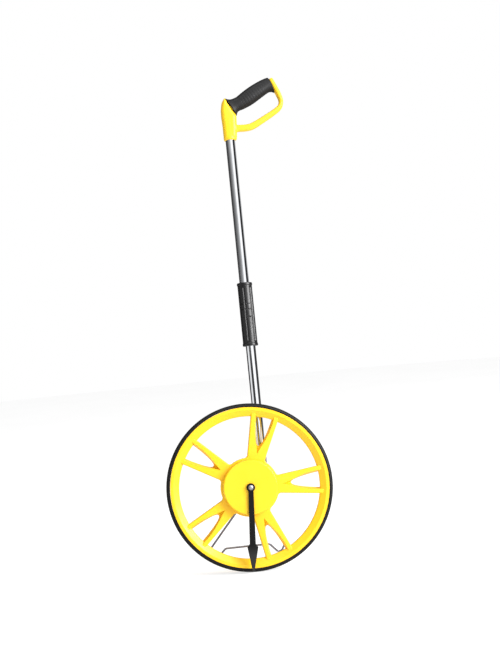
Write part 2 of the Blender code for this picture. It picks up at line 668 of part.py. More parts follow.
def make_sleeve():
    """Ribbed lock that slides down off the hinge before the shaft folds."""
    length = SLEEVE_TOP - SLEEVE_BOTTOM
    flange, collar = SLEEVE_FLANGE, SLEEVE_COLLAR
    points = [(SLEEVE_FLANGE_RADIUS, length), (SLEEVE_FLANGE_RADIUS, length - flange),
              (SLEEVE_RADIUS, length - flange - 0.001), (SLEEVE_RADIUS, flange + 0.001),
              (SLEEVE_FLANGE_RADIUS, flange), (SLEEVE_FLANGE_RADIUS, 0),
              (TUBE_RADIUS + GAP, 0), (TUBE_RADIUS + GAP, collar), (SLEEVE_BORE, collar + 0.002),
              (SLEEVE_BORE, length)]
    sleeve = turned("lock_sleeve", points, "black", sleeve_axis, closed=True, along_y=False, steps=40)
    for flute in range(FLUTES):
        x, y = polar(SLEEVE_RADIUS + FLUTE_CENTRE, FLUTE_TURN + 2 * pi * flute / FLUTES)
        groove = bar_mesh(FLUTE_RADIUS, (x, y, flange + 0.004), (x, y, length - flange - 0.004), sides=12)
        cut(sleeve, add_tool(f"flute_{flute + 1}", groove, sleeve_axis))


# ---------------------------------------------------------------- D-handle
def handle_point(along, across):
    """A point in the handle's plane, given along the grip from its start and square to it."""
    return (GRIP_START[0] + along * cos(GRIP_TILT) - across * sin(GRIP_TILT),
            GRIP_START[1] + along * sin(GRIP_TILT) + across * cos(GRIP_TILT))


def loft_mesh(stations):
    """Closed body through ellipses: (place, half height, half depth) along local X."""
    sides = 24
    shape = bmesh.new()
    rings = []
    for place, height, depth in stations:
        rings.append([shape.verts.new((place, depth * sin(2 * pi * side / sides),
                                       height * cos(2 * pi * side / sides))) for side in range(sides)])
    for first, second in zip(rings, rings[1:]):
        for side in range(sides):
            beyond = (side + 1) % sides
            shape.faces.new((first[side], first[beyond], second[beyond], second[side]))
    shape.faces.new(rings[0])
    shape.faces.new(rings[-1])
    bmesh.ops.recalc_face_normals(shape, faces=shape.faces)
    return bake(shape)


GRIP_STATIONS = [(0.0, 0.0225, 0.0125), (0.0025, 0.0205, 0.0124), (0.0065, 0.0160, 0.0124),
                 (0.013, 0.0133, 0.0125), (0.026, 0.0141, 0.0132), (0.047, 0.0157, 0.0142),
                 (0.070, 0.0146, 0.0134), (0.085, 0.0132, 0.0125), (0.0965, 0.0128, 0.0122)]


def make_handle():
    """Yellow frame: socket, guard and end plate round the hand, and a core under the grip."""
    at_handle = (PIN_OFFSET, 0, HANDLE_BOTTOM - PIN_HEIGHT)
    upper, lower = handle_point(0, 0.0248), handle_point(0, -0.0198)
    neck = rounded([(-0.0125, 0.010, 0), (0.0135, 0.010, 0), (0.0167, 0.043, 0.008), (*lower, 0.0015),
                    (*upper, 0.0015), (-0.0107, 0.0766, 0.008), (-0.0131, 0.062, 0.008),
                    (-0.0134, 0.045, 0.02)], steps=3)
    frame = add_part("handle_frame", flat_mesh([neck], -0.0120, 0.0120), "yellow", fold_axis, at_handle)
    bevel(frame, 0.004, segments=2, angle=50)

    plate_in_low, plate_in_high = handle_point(GRIP_LENGTH, -0.021), handle_point(GRIP_LENGTH, 0.0128)
    guard = rounded([(0.006, 0.0168, 0), (0.038, 0.0168, 0.018), (0.0500, 0.0195, 0.03),
                     (0.1060, 0.0556, 0.012), (0.1129, 0.0690, 0.010), (0.1129, 0.0810, 0.010),
                     (0.0968, 0.1200, 0.004), (*plate_in_high, 0.0015), (*plate_in_low, 0.01),
                     (0.1046, 0.0700, 0.004), (0.1030, 0.0630, 0.004), (0.0520, 0.0344, 0.02),
                     (0.0402, 0.0300, 0.02), (0.006, 0.0300, 0)], steps=3)
    strap = add_tool("guard_strap", flat_mesh([guard], -GUARD_HALF_DEPTH, GUARD_HALF_DEPTH), fold_axis,
                     at_handle)
    bevel(strap, 0.003, segments=2, angle=50)
    start, end = handle_point(-0.006, 0), handle_point(GRIP_LENGTH + 0.004, 0)
    core = bar_mesh(CORE_RADIUS, (start[0], 0, start[1]), (end[0], 0, end[1]))
    barrel = bar_mesh(SOCKET_RADIUS, (0, 0, 0), (0, 0, 0.052), sides=32)
    join(frame, strap, add_tool("grip_core", core, fold_axis, at_handle),
         add_tool("socket_barrel", barrel, fold_axis, at_handle))
    cut(frame,
        add_tool("socket_bore", bar_mesh(TUBE_RADIUS + GAP, (0, 0, -0.01), (0, 0, SOCKET_DEPTH)),
                 fold_axis, at_handle),
        add_tool("handle_screw_bore", bar_mesh(0.0018, (0, 0.009, 0.009), (0, 0.03, 0.009), sides=12),
                 fold_axis, at_handle))

    middle = handle_point(GAP, 0)
    grip = add_part("grip", loft_mesh(GRIP_STATIONS), "rubber", fold_axis,
                    (at_handle[0] + middle[0], 0, at_handle[2] + middle[1]), (0, -GRIP_TILT, 0))
    hollow = bar_mesh(CORE_RADIUS + GAP, (-0.01, 0, 0), (0.12, 0, 0))
    cut(grip, add_tool("grip_hollow", hollow, grip))

    screw = [(r, -y) for r, y in screw_points(0.0032, -0.0148, -0.0130, 0.0015, -0.0108)]
    turned("handle_screw", list(reversed(screw)), "steel", fold_axis,
           (at_handle[0], 0, at_handle[2] + 0.009), steps=12)


# ---------------------------------------------------------------- wire stand
def make_stand():
    """Bent wire: two legs from the lug to two feet, joined by a raised bar."""
    rise = (STAND_WIRE - axle_height() + STAND_FOOT_Y * sin(LEAN_BACK)) / cos(LEAN_BACK)
    leg = Vector((STAND_FOOT_Y - STAND_PIVOT_Y, rise - STAND_PIVOT_Z))
    length = leg.length
    leg.normalize()
    stub, bend = 0.0035, LUG_HALF_WIDTH + 0.0038
    half = [(stub, 0, 0), (bend, 0, 0.003), (STAND_KNEE_HALF, length - STAND_KNEE_RISE, 0.009),
            (STAND_FOOT_HALF, length, 0.007), (STAND_BAR_HALF, length - STAND_BAR_RISE, 0.007)]
    whole = half + [(-x, s, radius) for x, s, radius in reversed(half)]
    path = rounded(whole, steps=4, closed=False)
    stretch = length / max(down for across, down in path)       # so that the rounded feet reach the floor
    curve = bpy.data.curves.new("stand", "CURVE")
    curve.dimensions = "3D"
    curve.bevel_depth = STAND_WIRE
    curve.bevel_resolution = 2
    curve.use_fill_caps = True
    spline = curve.splines.new("POLY")
    spline.points.add(len(path) - 1)
    for point, (across, down) in zip(spline.points, path):
        point.co = (across, stretch * down * leg.x, stretch * down * leg.y, 1)
    curve.materials.append(finish_material("stand", "steel"))
    stand = bpy.data.objects.new("stand", curve)
    PARTS.objects.link(stand)
    stand.parent = stand_axis


def axle_height():
    """Height of the axle when the tyre, leaning back, touches the floor."""
    edge = TYRE_EDGE
    return (WHEEL_RADIUS - edge) * cos(LEAN_BACK) + (TYRE_HALF_WIDTH - edge) * sin(LEAN_BACK) + edge


def centre_on_floor():
    """Move the whole tool so that its box stands on z = 0 with the box's middle at x = y = 0."""
    bpy.context.view_layer.update()
    graph = bpy.context.evaluated_depsgraph_get()
    low, high = Vector((9, 9, 9)), Vector((-9, -9, -9))
    for obj in PARTS.objects:
        if obj.type == "EMPTY":
            continue
        solid = obj.evaluated_get(graph)
        mesh = solid.to_mesh()
        for vertex in mesh.vertices:
            place = obj.matrix_world @ vertex.co
            low = Vector(map(min, low, place))
            high = Vector(map(max, high, place))
        solid.to_mesh_clear()
    tool_frame.location -= Vector(((low.x + high.x) / 2, (low.y + high.y) / 2, low.z))


tool_frame.location.z = axle_height()
make_tyre()
make_wheel()
make_hub_cover()
make_bush("front_bush", -0.0142, -0.002)
make_bush("rear_bush", 0.004, 0.0165)
make_gears()
make_axle()
make_pointer()
make_housing()
make_housing_cover()
make_window_and_button()
make_counter()
make_shaft()
make_sleeve()
make_handle()
make_stand()
centre_on_floor()
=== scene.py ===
"""Looks of a measuring wheel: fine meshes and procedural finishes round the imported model.

Metres. Meshes are laid out in the tool's own frame, which leans back on its stand in the row frame:
origin at the axle's centre, X across the wheel, Y from the pointer's side to the back, Z up the shaft.
"""

import json
from math import acos, asin, atan2, cos, pi, radians, sin, sqrt, tan

import bmesh
import bpy
import numpy as np
from mathutils import Matrix, Vector


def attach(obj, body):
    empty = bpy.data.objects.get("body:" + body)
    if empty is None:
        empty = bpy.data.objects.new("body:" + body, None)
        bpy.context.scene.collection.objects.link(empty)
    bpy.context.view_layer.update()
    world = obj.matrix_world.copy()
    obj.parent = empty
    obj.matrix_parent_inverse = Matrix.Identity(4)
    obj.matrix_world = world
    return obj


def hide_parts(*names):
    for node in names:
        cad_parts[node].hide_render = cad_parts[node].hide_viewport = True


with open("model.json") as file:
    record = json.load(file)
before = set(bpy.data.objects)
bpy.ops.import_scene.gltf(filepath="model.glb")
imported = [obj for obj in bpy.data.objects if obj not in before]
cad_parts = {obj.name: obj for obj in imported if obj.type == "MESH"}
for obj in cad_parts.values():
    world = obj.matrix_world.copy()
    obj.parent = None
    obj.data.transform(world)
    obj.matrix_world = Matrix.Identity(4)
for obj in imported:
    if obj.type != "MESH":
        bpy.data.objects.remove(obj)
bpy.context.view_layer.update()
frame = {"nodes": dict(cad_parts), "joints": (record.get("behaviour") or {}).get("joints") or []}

# -------- the tool's frame and its places
JOINTS = {joint["name"]: joint for joint in frame["joints"]}
ACROSS = Vector((1, 0, 0))
BACKWARD = Vector(JOINTS["wheel_spin"]["axis"])
UP_SHAFT = ACROSS.cross(BACKWARD)
TOOL = Matrix.Translation(JOINTS["wheel_spin"]["pos_m"]) @ Matrix(
    (ACROSS, BACKWARD, UP_SHAFT)).transposed().to_4x4()
TO_TOOL = TOOL.inverted()
LEAN = acos(BACKWARD.y)


def node_places(node):
    """A CAD node's points in the tool's frame."""
    return [TO_TOOL @ vertex.co for vertex in frame["nodes"][node].data.vertices]


def node_box(node):
    """A CAD node's lowest and highest corner in the tool's frame."""
    spans = list(zip(*node_places(node)))
    return Vector(min(span) for span in spans), Vector(max(span) for span in spans)


def joint_place(name):
    return TO_TOOL @ Vector(JOINTS[name]["pos_m"])


GAP = 0.0003                      # between touching pieces

TYRE_HIGH = node_box("tyre")[1]
WHEEL_RADIUS = TYRE_HIGH.x
TYRE_SHOULDER = 0.0055
RIM_RADIUS = node_box("wheel")[1].x
RIM_LIP_RADIUS, RIM_BORE_RADIUS = 0.1458, 0.1345
RIM_OUTER_HALF, RIM_INNER_HALF = 0.011, 0.004

SPOKES = 5
SPOKE_ANGLE = radians(0.5)
SPOKE_FRONT, SPOKE_BACK = -0.008, 0.006
SPOKE_EDGE = 0.0021
SPOKE_HALF_AT_HUB, SPOKE_HALF_AT_TIP = 0.0168, 0.0272
ARM_TIP = 0.1400
FORK_ROOT, FORK_HALF, FORK_FLARE = 0.0812, 0.0145, 0.46
SCOOP_ROOT, SCOOP_HALF, SCOOP_FLARE = 0.0635, 0.0182, 1.15
HUB_PLATE_RADIUS = 0.0560
HUB_BORE = 0.0073
HUB_NOSE_RADIUS, HUB_TAIL_RADIUS = 0.011, 0.016
HUB_NOSE_FRONT, HUB_STEP, HUB_TAIL_BACK = -0.015, -0.002, 0.0172

POINTER_LENGTH = 0.156
AXLE_RADIUS = 0.005
SCREW_SHANK_RADIUS = 0.0015

HOUSING_LOW, HOUSING_HIGH = node_box("counter_housing")
HOUSING_TOP = HOUSING_HIGH.z
HOUSING_BACK, HOUSING_BOTTOM, HOUSING_WALL = 0.058, -0.042, 0.0025
SOCKET_LEFT, SOCKET_TOP = 0.0195, 0.030
BUTTON_FLANGE = 0.0013            # wider than the button's hole on each side

DRUM_AXIS = joint_place("drum_1_turn")
DIGIT_SIZE, DIGIT_RELIEF = 0.0072, 0.00004

LOWER_LOW, LOWER_HIGH = node_box("lower_tube")
SHAFT = (LOWER_LOW + LOWER_HIGH) / 2
AT_SHAFT = Matrix.Translation((SHAFT.x, SHAFT.y, 0))
TUBE_RADIUS = (LOWER_HIGH.x - LOWER_LOW.x) / 2
TUBE_WALL = 0.0012

SLEEVE_LOW, SLEEVE_HIGH = node_box("lock_sleeve")
SLEEVE_RADIUS, SLEEVE_FLANGE_RADIUS, SLEEVE_BORE = 0.0143, 0.0151, 0.0115

HANDLE_LOW = node_box("handle_frame")[0]
SOCKET_RADIUS, SOCKET_DEPTH = 0.01265, 0.046
GRIP_TILT = radians(28)
GRIP_START = (0.008, 0.065)
GRIP_LENGTH = 0.0970
CORE_RADIUS, CORE_ROOM = 0.0075, 0.0079

STAND_PIVOT = joint_place("stand_fold")
STAND_WIRE = 0.002
STAND_FOOT_Y = 0.150
STAND_END_HALF, STAND_SHOULDER_HALF = 0.0035, 0.0113
STAND_KNEE_HALF, STAND_KNEE_RISE = 0.0765, 0.031
STAND_BAR_HALF, STAND_BAR_RISE = 0.0445, 0.0305
STAND_FOOT_HALF = 0.067

FLOOR_RADIUS, FLOOR_GLOW = 6.0, 0.67
LAMPS_AIM_HEIGHT = 0.25
SURROUNDING_LIGHT = 0.5           # for all but mirror-like surfaces and the camera
LOW_WALL_END, HIGH_WALL_START = 0.09, 0.12
HIGH_WALL_END, TOP_WALL_START = 0.28, 0.42
WALL_SLOPE = 0.075                # how fast the low wall's top sinks towards the back


# -------- mesh helpers
def placed(name, data):
    """A new object in the scene."""
    made = bpy.data.objects.new(name, data)
    bpy.context.scene.collection.objects.link(made)
    return made


def settled(holder, *others):
    """The mesh that a work object's modifiers give; the work objects go."""
    bpy.context.view_layer.update()
    made = bpy.data.meshes.new_from_object(holder.evaluated_get(bpy.context.evaluated_depsgraph_get()))
    for used in (holder, *others):
        bpy.data.objects.remove(used)
    return made


def bake(shape):
    mesh = bpy.data.meshes.new("shape")
    bmesh.ops.recalc_face_normals(shape, faces=shape.faces)
    shape.to_mesh(mesh)
    shape.free()
    return mesh


def arc(centre, radius, start, end, steps):
    turns = [start + (end - start) * step / steps for step in range(steps + 1)]
    return [(centre[0] + radius * cos(turn), centre[1] + radius * sin(turn)) for turn in turns]


def circle(radius, steps):
    return arc((0, 0), radius, 0, 2 * pi * (steps - 1) / steps, steps - 1)


def rounded(corners, steps=6, closed=True):
    """Outline through (a, b, radius) corners, each replaced by an arc of that radius."""
    outline = []
    count = len(corners)
    for index, (a, b, radius) in enumerate(corners):
        here = Vector((a, b))
        if radius == 0 or (not closed and index in (0, count - 1)):
            outline.append((a, b))
            continue
        before = (Vector(corners[index - 1][:2]) - here).normalized()
        after = (Vector(corners[(index + 1) % count][:2]) - here).normalized()
        half = before.angle(after) / 2
        centre = here + (before + after).normalized() * (radius / sin(half))
        first = here + before * (radius / tan(half)) - centre
        last = here + after * (radius / tan(half)) - centre
        start = atan2(first.y, first.x)
        sweep = (atan2(last.y, last.x) - start + pi) % (2 * pi) - pi
        outline += arc(centre, radius, start, start + sweep, steps)
    return outline


def other_half(half):
    """The mirrored half of an outline, its (across, along, radius) corners in the order that goes on."""
    return [(-across, along, radius) for across, along, radius in reversed(half)]


def turned(points, steps=128, along_z=False):
    """Body turned about Y (or Z) from the closed half section of (radius, place) points."""
    shape = bmesh.new()
    rings = []
    for step in range(steps):
        angle = 2 * pi * step / steps
        ring = []
        for radius, place in points:
            a, b = radius * cos(angle), radius * sin(angle)
            ring.append(shape.verts.new((a, b, place) if along_z else (a, place, b)))
        rings.append(ring)
    for step, ring in enumerate(rings):
        beyond = rings[(step + 1) % steps]
        for index in range(len(points)):
            after = (index + 1) % len(points)
            shape.faces.new((ring[index], ring[after], beyond[after], beyond[index]))
    bmesh.ops.remove_doubles(shape, verts=shape.verts, dist=1e-6)
    bmesh.ops.dissolve_degenerate(shape, edges=shape.edges, dist=1e-7)
    return bake(shape)


def loft(rings, ring_closed=False):
    """Closed body through rings with equal numbers of points, capped unless it closes on itself."""
    shape = bmesh.new()
    rows = [[shape.verts.new(point) for point in ring] for ring in rings]
    pairs = list(zip(rows, rows[1:]))
    if ring_closed:
        pairs.append((rows[-1], rows[0]))
    count = len(rows[0])
    for first, second in pairs:
        for index in range(count):
            beyond = (index + 1) % count
            shape.faces.new((first[index], first[beyond], second[beyond], second[index]))
    if not ring_closed:
        shape.faces.new(rows[0])
        shape.faces.new(rows[-1])
    return bake(shape)


def plate(outlines, low, high, edge, fineness=3):
    """Flat shape with rounded edges: outlines in X and Z, the later ones holes, from y = low to high."""
    curve = bpy.data.curves.new("outline", "CURVE")
    curve.dimensions = "2D"
    curve.fill_mode = "BOTH"
    curve.extrude = (high - low) / 2 - edge
    curve.bevel_depth = edge
    curve.offset = -edge
    curve.bevel_resolution = fineness
    for outline in outlines:
        spline = curve.splines.new("POLY")
        spline.points.add(len(outline) - 1)
        for point, (x, z) in zip(spline.points, outline):
            point.co = (x, z, 0, 1)
        spline.use_cyclic_u = True
    mesh = curve_mesh(curve)
    mesh.transform(Matrix.Translation((0, (low + high) / 2, 0)) @ Matrix.Rotation(pi / 2, 4, "X"))
    return mesh


def curve_mesh(curve):
    """A curve's surface as one welded closed mesh."""
    mesh = settled(placed("work", curve))
    bpy.data.curves.remove(curve)
    shape = bmesh.new()
    shape.from_mesh(mesh)
    bmesh.ops.remove_doubles(shape, verts=shape.verts, dist=1e-5)
    bmesh.ops.dissolve_degenerate(shape, edges=shape.edges, dist=1e-6)
    return bake(shape)


def block(low, high, edge, segments=3):
    """Box between two corners with rounded edges."""
    low, high = Vector(low), Vector(high)
    shape = bmesh.new()
    bmesh.ops.create_cube(shape, size=1, matrix=Matrix.Translation((low + high) / 2)
                          @ Matrix.Diagonal((*(high - low), 1)))
    bmesh.ops.bevel(shape, geom=shape.edges, offset=edge, segments=segments, profile=0.5, affect="EDGES")
    return bake(shape)


def bar(radius, start, end, sides=48):
    """Round bar between two points."""
    start, end = Vector(start), Vector(end)
    turn = Vector((0, 0, 1)).rotation_difference(end - start).to_matrix().to_4x4()
    shape = bmesh.new()
    bmesh.ops.create_cone(shape, cap_ends=True, segments=sides, radius1=radius, radius2=radius,
                          depth=(end - start).length, matrix=Matrix.Translation((start + end) / 2) @ turn)
    return bake(shape)


def cross_bar(radius, centre, reach, sides):
    """Round bar along X, reaching as far to both sides of its centre."""
    x, y, z = centre
    return bar(radius, (x - reach, y, z), (x + reach, y, z), sides)


def merged(*meshes):
    """Several meshes as one, still separate bodies."""
    shape = bmesh.new()
    for mesh in meshes:
        shape.from_mesh(mesh)
    return bake(shape)


def combined(mesh, operation, *tools):
    """The mesh after a Boolean with each tool in turn."""
    holder = placed("work", mesh)
    helpers = [placed("tool", tool) for tool in tools]
    for helper in helpers:
        modifier = holder.modifiers.new("combine", "BOOLEAN")
        modifier.operation = operation
        modifier.object = helper
        modifier.solver = "EXACT"
    return settled(holder, *helpers)


def softened(mesh, voxel, passes):
    """Overlapping bodies melted into one moulding with soft inner corners."""
    holder = placed("work", mesh)
    remesh = holder.modifiers.new("remesh", "REMESH")
    remesh.mode = "VOXEL"
    remesh.voxel_size = voxel
    smooth = holder.modifiers.new("smooth", "SMOOTH")
    smooth.factor = 0.5
    smooth.iterations = passes
    return settled(holder)


def add_piece(name, mesh, finish, body, slot, *nodes, crease=32):
    """One visible piece in place of CAD nodes, riding on their body; edges over crease degrees stay sharp."""
    piece = placed(name, mesh)
    mesh.transform(TOOL)
    mesh.materials.clear()
    mesh.materials.append(FINISH[finish])
    mesh.shade_smooth()
    mesh.set_sharp_from_angle(angle=radians(crease))
    normals = piece.modifiers.new("normals", "WEIGHTED_NORMAL")
    normals.keep_sharp = True
    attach(piece, body)
    if nodes:
        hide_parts(*nodes)


# -------- finishes
def colour(red, green, blue):
    """Linear colour from the usual 0 to 255 values."""
    values = [value / 255 for value in (red, green, blue)]
    return tuple(v / 12.92 if v <= 0.04045 else ((v + 0.055) / 1.055) ** 2.4 for v in values) + (1.0,)


class Shading:
    """A node tree, and short ways to add nodes to it."""

    def __init__(self, tree):
        self.tree = tree

    def added(self, kind, output, inputs, **settings):
        """An output of a new node, whose inputs are each linked to a socket or set to a value."""
        node = self.tree.nodes.new(kind)
        for name, setting in settings.items():
            setattr(node, name, setting)
        for name, value in inputs.items():
            if isinstance(value, bpy.types.NodeSocket):
                self.tree.links.new(value, node.inputs[name])
            else:
                node.inputs[name].default_value = value
        return node.outputs[output]

    def ranged(self, value, low, high, to_low=0.0, to_high=1.0):
        """Value carried from one range to another, held at the ends."""
        return self.added("ShaderNodeMapRange", "Result", {
            "Value": value, "From Min": low, "From Max": high, "To Min": to_low, "To Max": to_high})

    def blended(self, share, first, second):
        """Colour a varying share of the way from the first to the second."""
        return self.added("ShaderNodeMix", "Result", {"Factor": share, "A": first, "B": second},
                          data_type="RGBA")


class Finish(Shading):
    """A procedural material: base colour that wanders a little, uneven gloss, grain and wear."""

    def __init__(self, name, base, metallic=0.0, specular=0.5, coat=0.0, alpha=1.0):
        self.material = bpy.data.materials.new(name)
        self.material.use_nodes = True
        super().__init__(self.material.node_tree)
        self.inputs = self.tree.nodes["Principled BSDF"].inputs
        for socket, value in (("Metallic", metallic), ("Specular IOR Level", specular),
                              ("Coat Weight", coat), ("Coat Roughness", 0.12), ("Alpha", alpha)):
            self.inputs[socket].default_value = value
        self.place = self.added("ShaderNodeTexCoord", "Object", {})
        self.tint = base
        self.relief = {}

    def feed(self, socket, value):
        self.tree.links.new(value, self.inputs[socket])

    def noise(self, scale, detail=3.0, stretch=None):
        """Noise over the piece; stretch squeezes it along each axis."""
        place = self.place
        if stretch:
            place = self.added("ShaderNodeMapping", "Vector", {"Vector": place, "Scale": stretch})
        return self.added("ShaderNodeTexNoise", "Fac", {"Vector": place, "Scale": scale, "Detail": detail})

    def cells(self, scale):
        return self.added("ShaderNodeTexVoronoi", "Distance", {"Vector": self.place, "Scale": scale})

    def mixed(self, other, share):
        """Base colour moved towards another one by a share that varies."""
        self.tint = self.blended(share, self.tint, other)
        self.feed("Base Color", self.tint)

    def worn_edges(self, other):
        """Sharp outer edges rubbed towards another colour."""
        flat, sharp, rubbed = 0.53, 0.60, 0.35
        pointiness = self.added("ShaderNodeNewGeometry", "Pointiness", {})
        self.mixed(other, self.ranged(pointiness, flat, sharp, 0.0, rubbed))

    def scuffed_below(self, start, end, other):
        """Painted light near the ground: surface turned lighter grey, from none at height start to most of it
        at end.
        """
        height = self.added("ShaderNodeSeparateXYZ", "Z", {"Vector": self.place})
        self.mixed(other, self.ranged(height, end, start, 0.8, 0.0))

    def gloss(self, value, low, high):
        """Roughness that follows a texture between two values."""
        self.feed("Roughness", self.ranged(value, 0.3, 0.7, low, high))

    def bump(self, value, depth, strength=1.0):
        """Fine relief of a real depth, added to what is there."""
        normal = self.added("ShaderNodeBump", "Normal", {
            "Height": value, "Distance": depth, "Strength": strength, **self.relief})
        self.relief = {"Normal": normal}
        self.feed("Normal", normal)


def moulded(name, base, other, roughness, grain=1400, depth=0.00003, specular=0.5, edge=None):
    """Moulded plastic or rubber: spark-eroded grain, cloudy colour, rubbed edges and handling marks."""
    clouds, handling, ripples = 18, 70, 230
    finish = Finish(name, colour(*base), specular=specular)
    finish.mixed(colour(*other), finish.ranged(finish.noise(clouds), 0.35, 0.7, 0.0, 0.5))
    if edge:
        finish.worn_edges(colour(*edge))
    finish.gloss(finish.noise(handling, detail=5), *roughness)
    finish.bump(finish.noise(grain, detail=2), depth, 0.6)
    finish.bump(finish.noise(ripples, detail=2), depth * 2.5, 0.25)
    return finish


def metal(name, base, other, roughness, stretch=(1, 1, 1), depth=0.00001):
    """Plated or turned metal: drawn marks along it, cloudy tarnish, uneven polish."""
    tarnish, scratches = 25, 900
    finish = Finish(name, colour(*base), metallic=1.0)
    finish.mixed(colour(*other), finish.ranged(finish.noise(tarnish), 0.45, 0.75, 0.0, 0.6))
    marks = finish.noise(scratches, detail=4, stretch=stretch)
    finish.gloss(marks, *roughness)
    finish.bump(marks, depth, 0.4)
    return finish


def make_finishes():
    made = {
        "yellow": moulded("yellow_plastic", (247, 197, 22), (246, 190, 14), (0.30, 0.42), grain=1100,
                          depth=0.00002, edge=(250, 210, 60)),
        "handle": moulded("handle_plastic", (248, 202, 34), (247, 194, 20), (0.34, 0.46), grain=1100,
                          depth=0.00001),
        "tyre": moulded("tyre_rubber", (15, 15, 15), (21, 21, 21), (0.44, 0.58), grain=1600,
                        depth=0.00005, specular=0.24, edge=(34, 33, 33)),
        "black": moulded("black_plastic", (24, 24, 25), (31, 31, 32), (0.38, 0.52), grain=1500,
                         depth=0.00004, edge=(52, 52, 54)),
        "pointer": moulded("pointer_plastic", (11, 11, 12), (16, 16, 17), (0.42, 0.56), grain=1200,
                           specular=0.14, edge=(36, 36, 38)),
        "sleeve": moulded("sleeve_plastic", (13, 13, 14), (19, 19, 20), (0.26, 0.38), grain=1300,
                          edge=(54, 53, 56)),
        "grip": moulded("grip_rubber", (20, 20, 21), (26, 26, 27), (0.46, 0.60), grain=1700,
                        depth=0.00006, specular=0.32, edge=(40, 40, 42)),
        "chrome": metal("chrome_tube", (226, 228, 231), (206, 208, 212), (0.045, 0.11), stretch=(1, 1, 0.02)),
        "steel": metal("plated_steel", (188, 190, 194), (160, 160, 162), (0.20, 0.36), stretch=(1, 0.1, 1),
                       depth=0.00002),
        "wire": metal("stand_wire", (168, 162, 166), (140, 136, 140), (0.24, 0.40)),
        "brass": metal("bush_brass", (214, 178, 104), (180, 140, 78), (0.22, 0.40)),
        "white": moulded("white_plastic", (236, 236, 230), (226, 226, 218), (0.38, 0.50)),
        "red": moulded("red_plastic", (188, 34, 26), (170, 26, 22), (0.30, 0.42), edge=(214, 78, 66)),
        "ink": moulded("digit_ink", (22, 22, 24), (34, 34, 36), (0.45, 0.60)),
        "window": Finish("clear_window", colour(232, 240, 244), specular=0.6, coat=0.3, alpha=0.16),
    }
    made["tyre"].bump(made["tyre"].cells(900), 0.00004, 0.3)
    made["grip"].bump(made["grip"].cells(1100), 0.00005, 0.35)
    # painted light: the pointer's arrowhead is painted lighter grey towards its tip
    made["pointer"].scuffed_below(0.055, 0.035, colour(44, 44, 45))
    window = made["window"]
    window.mixed(colour(214, 224, 230), window.ranged(window.noise(40), 0.4, 0.7, 0.0, 0.6))
    window.gloss(window.noise(160, detail=5), 0.03, 0.10)
    window.bump(window.noise(500), 0.00001, 0.3)
    return {key: finish.material for key, finish in made.items()}


FINISH = make_finishes()


# -------- wheel
def spun(points, angle):
    """(x, z) points turned about the axle."""
    return [(x * cos(angle) - z * sin(angle), x * sin(angle) + z * cos(angle)) for x, z in points]


def fork_side(root, half_width, share_to_half):
    """One side of the opening between a spoke's arms, from its root out past the rim's slope."""
    steps = 14
    reach = sqrt(RIM_BORE_RADIUS ** 2 - FORK_HALF ** 2)
    end = (ARM_TIP + 0.002, half_width * 1.03)
    side = []
    for step in range(1, steps + 1):
        share = (step / steps) ** 2
        side.append((root + (reach - root) * share, half_width * share_to_half(share)))
    return side + [end]


def fork_flare(share):
    return share ** FORK_FLARE


def scoop_flare(share):
    return sin(share * pi / 2) ** SCOOP_FLARE


def spoke_outline(angle):
    """One spoke from the hub plate to its two arm tips, and the plate's edge up to the next spoke."""
    hub_x = sqrt(HUB_PLATE_RADIUS ** 2 - SPOKE_HALF_AT_HUB ** 2)
    side = fork_side(FORK_ROOT, FORK_HALF, fork_flare)
    inner_tip = side.pop()
    upper = [(*inner_tip, 0.003), (ARM_TIP, SPOKE_HALF_AT_TIP, 0.004), (hub_x, SPOKE_HALF_AT_HUB, 0.0065)]
    lower = [(x, -z, radius) for x, z, radius in reversed(upper)]
    inside = [(x, -z, 0) for x, z in reversed(side)] + [(FORK_ROOT, 0, 0)] + [(x, z, 0) for x, z in side]
    start = asin(SPOKE_HALF_AT_HUB / HUB_PLATE_RADIUS)
    round_root = 3                # arc points that give way to the rounded root at each end
    plate_edge = arc((0, 0), HUB_PLATE_RADIUS, start, 2 * pi / SPOKES - start, 12)[round_root:-round_root]
    corners = lower + inside + upper + [(x, z, 0) for x, z in plate_edge]
    return [(*spun([(x, z)], angle)[0], radius) for x, z, radius in corners]


def scoop_cutter(angle):
    """Spoon-shaped hollow that opens the arms' inner walls towards the front."""
    def loop(root, half_width, flare):
        side = fork_side(root, half_width, flare)
        return [(root, 0)] + side + [(x, -z) for x, z in reversed(side)]

    front = loop(SCOOP_ROOT, SCOOP_HALF, scoop_flare)
    back = loop(FORK_ROOT + 0.0004, FORK_HALF - 0.0004, fork_flare)
    over = 0.0008                 # past the spoke's two faces
    rings = []
    for depth in (0, 0.12, 0.26, 0.42, 0.6, 0.8, 1):
        blend = depth ** 1.35
        y = SPOKE_FRONT - over + (SPOKE_BACK - SPOKE_FRONT + 2 * over) * depth
        between = [(a[0] + (b[0] - a[0]) * blend, a[1] + (b[1] - a[1]) * blend) for a, b in zip(front, back)]
        rings.append([(x, y, z) for x, z in spun(between, angle)])
    return loft(rings)


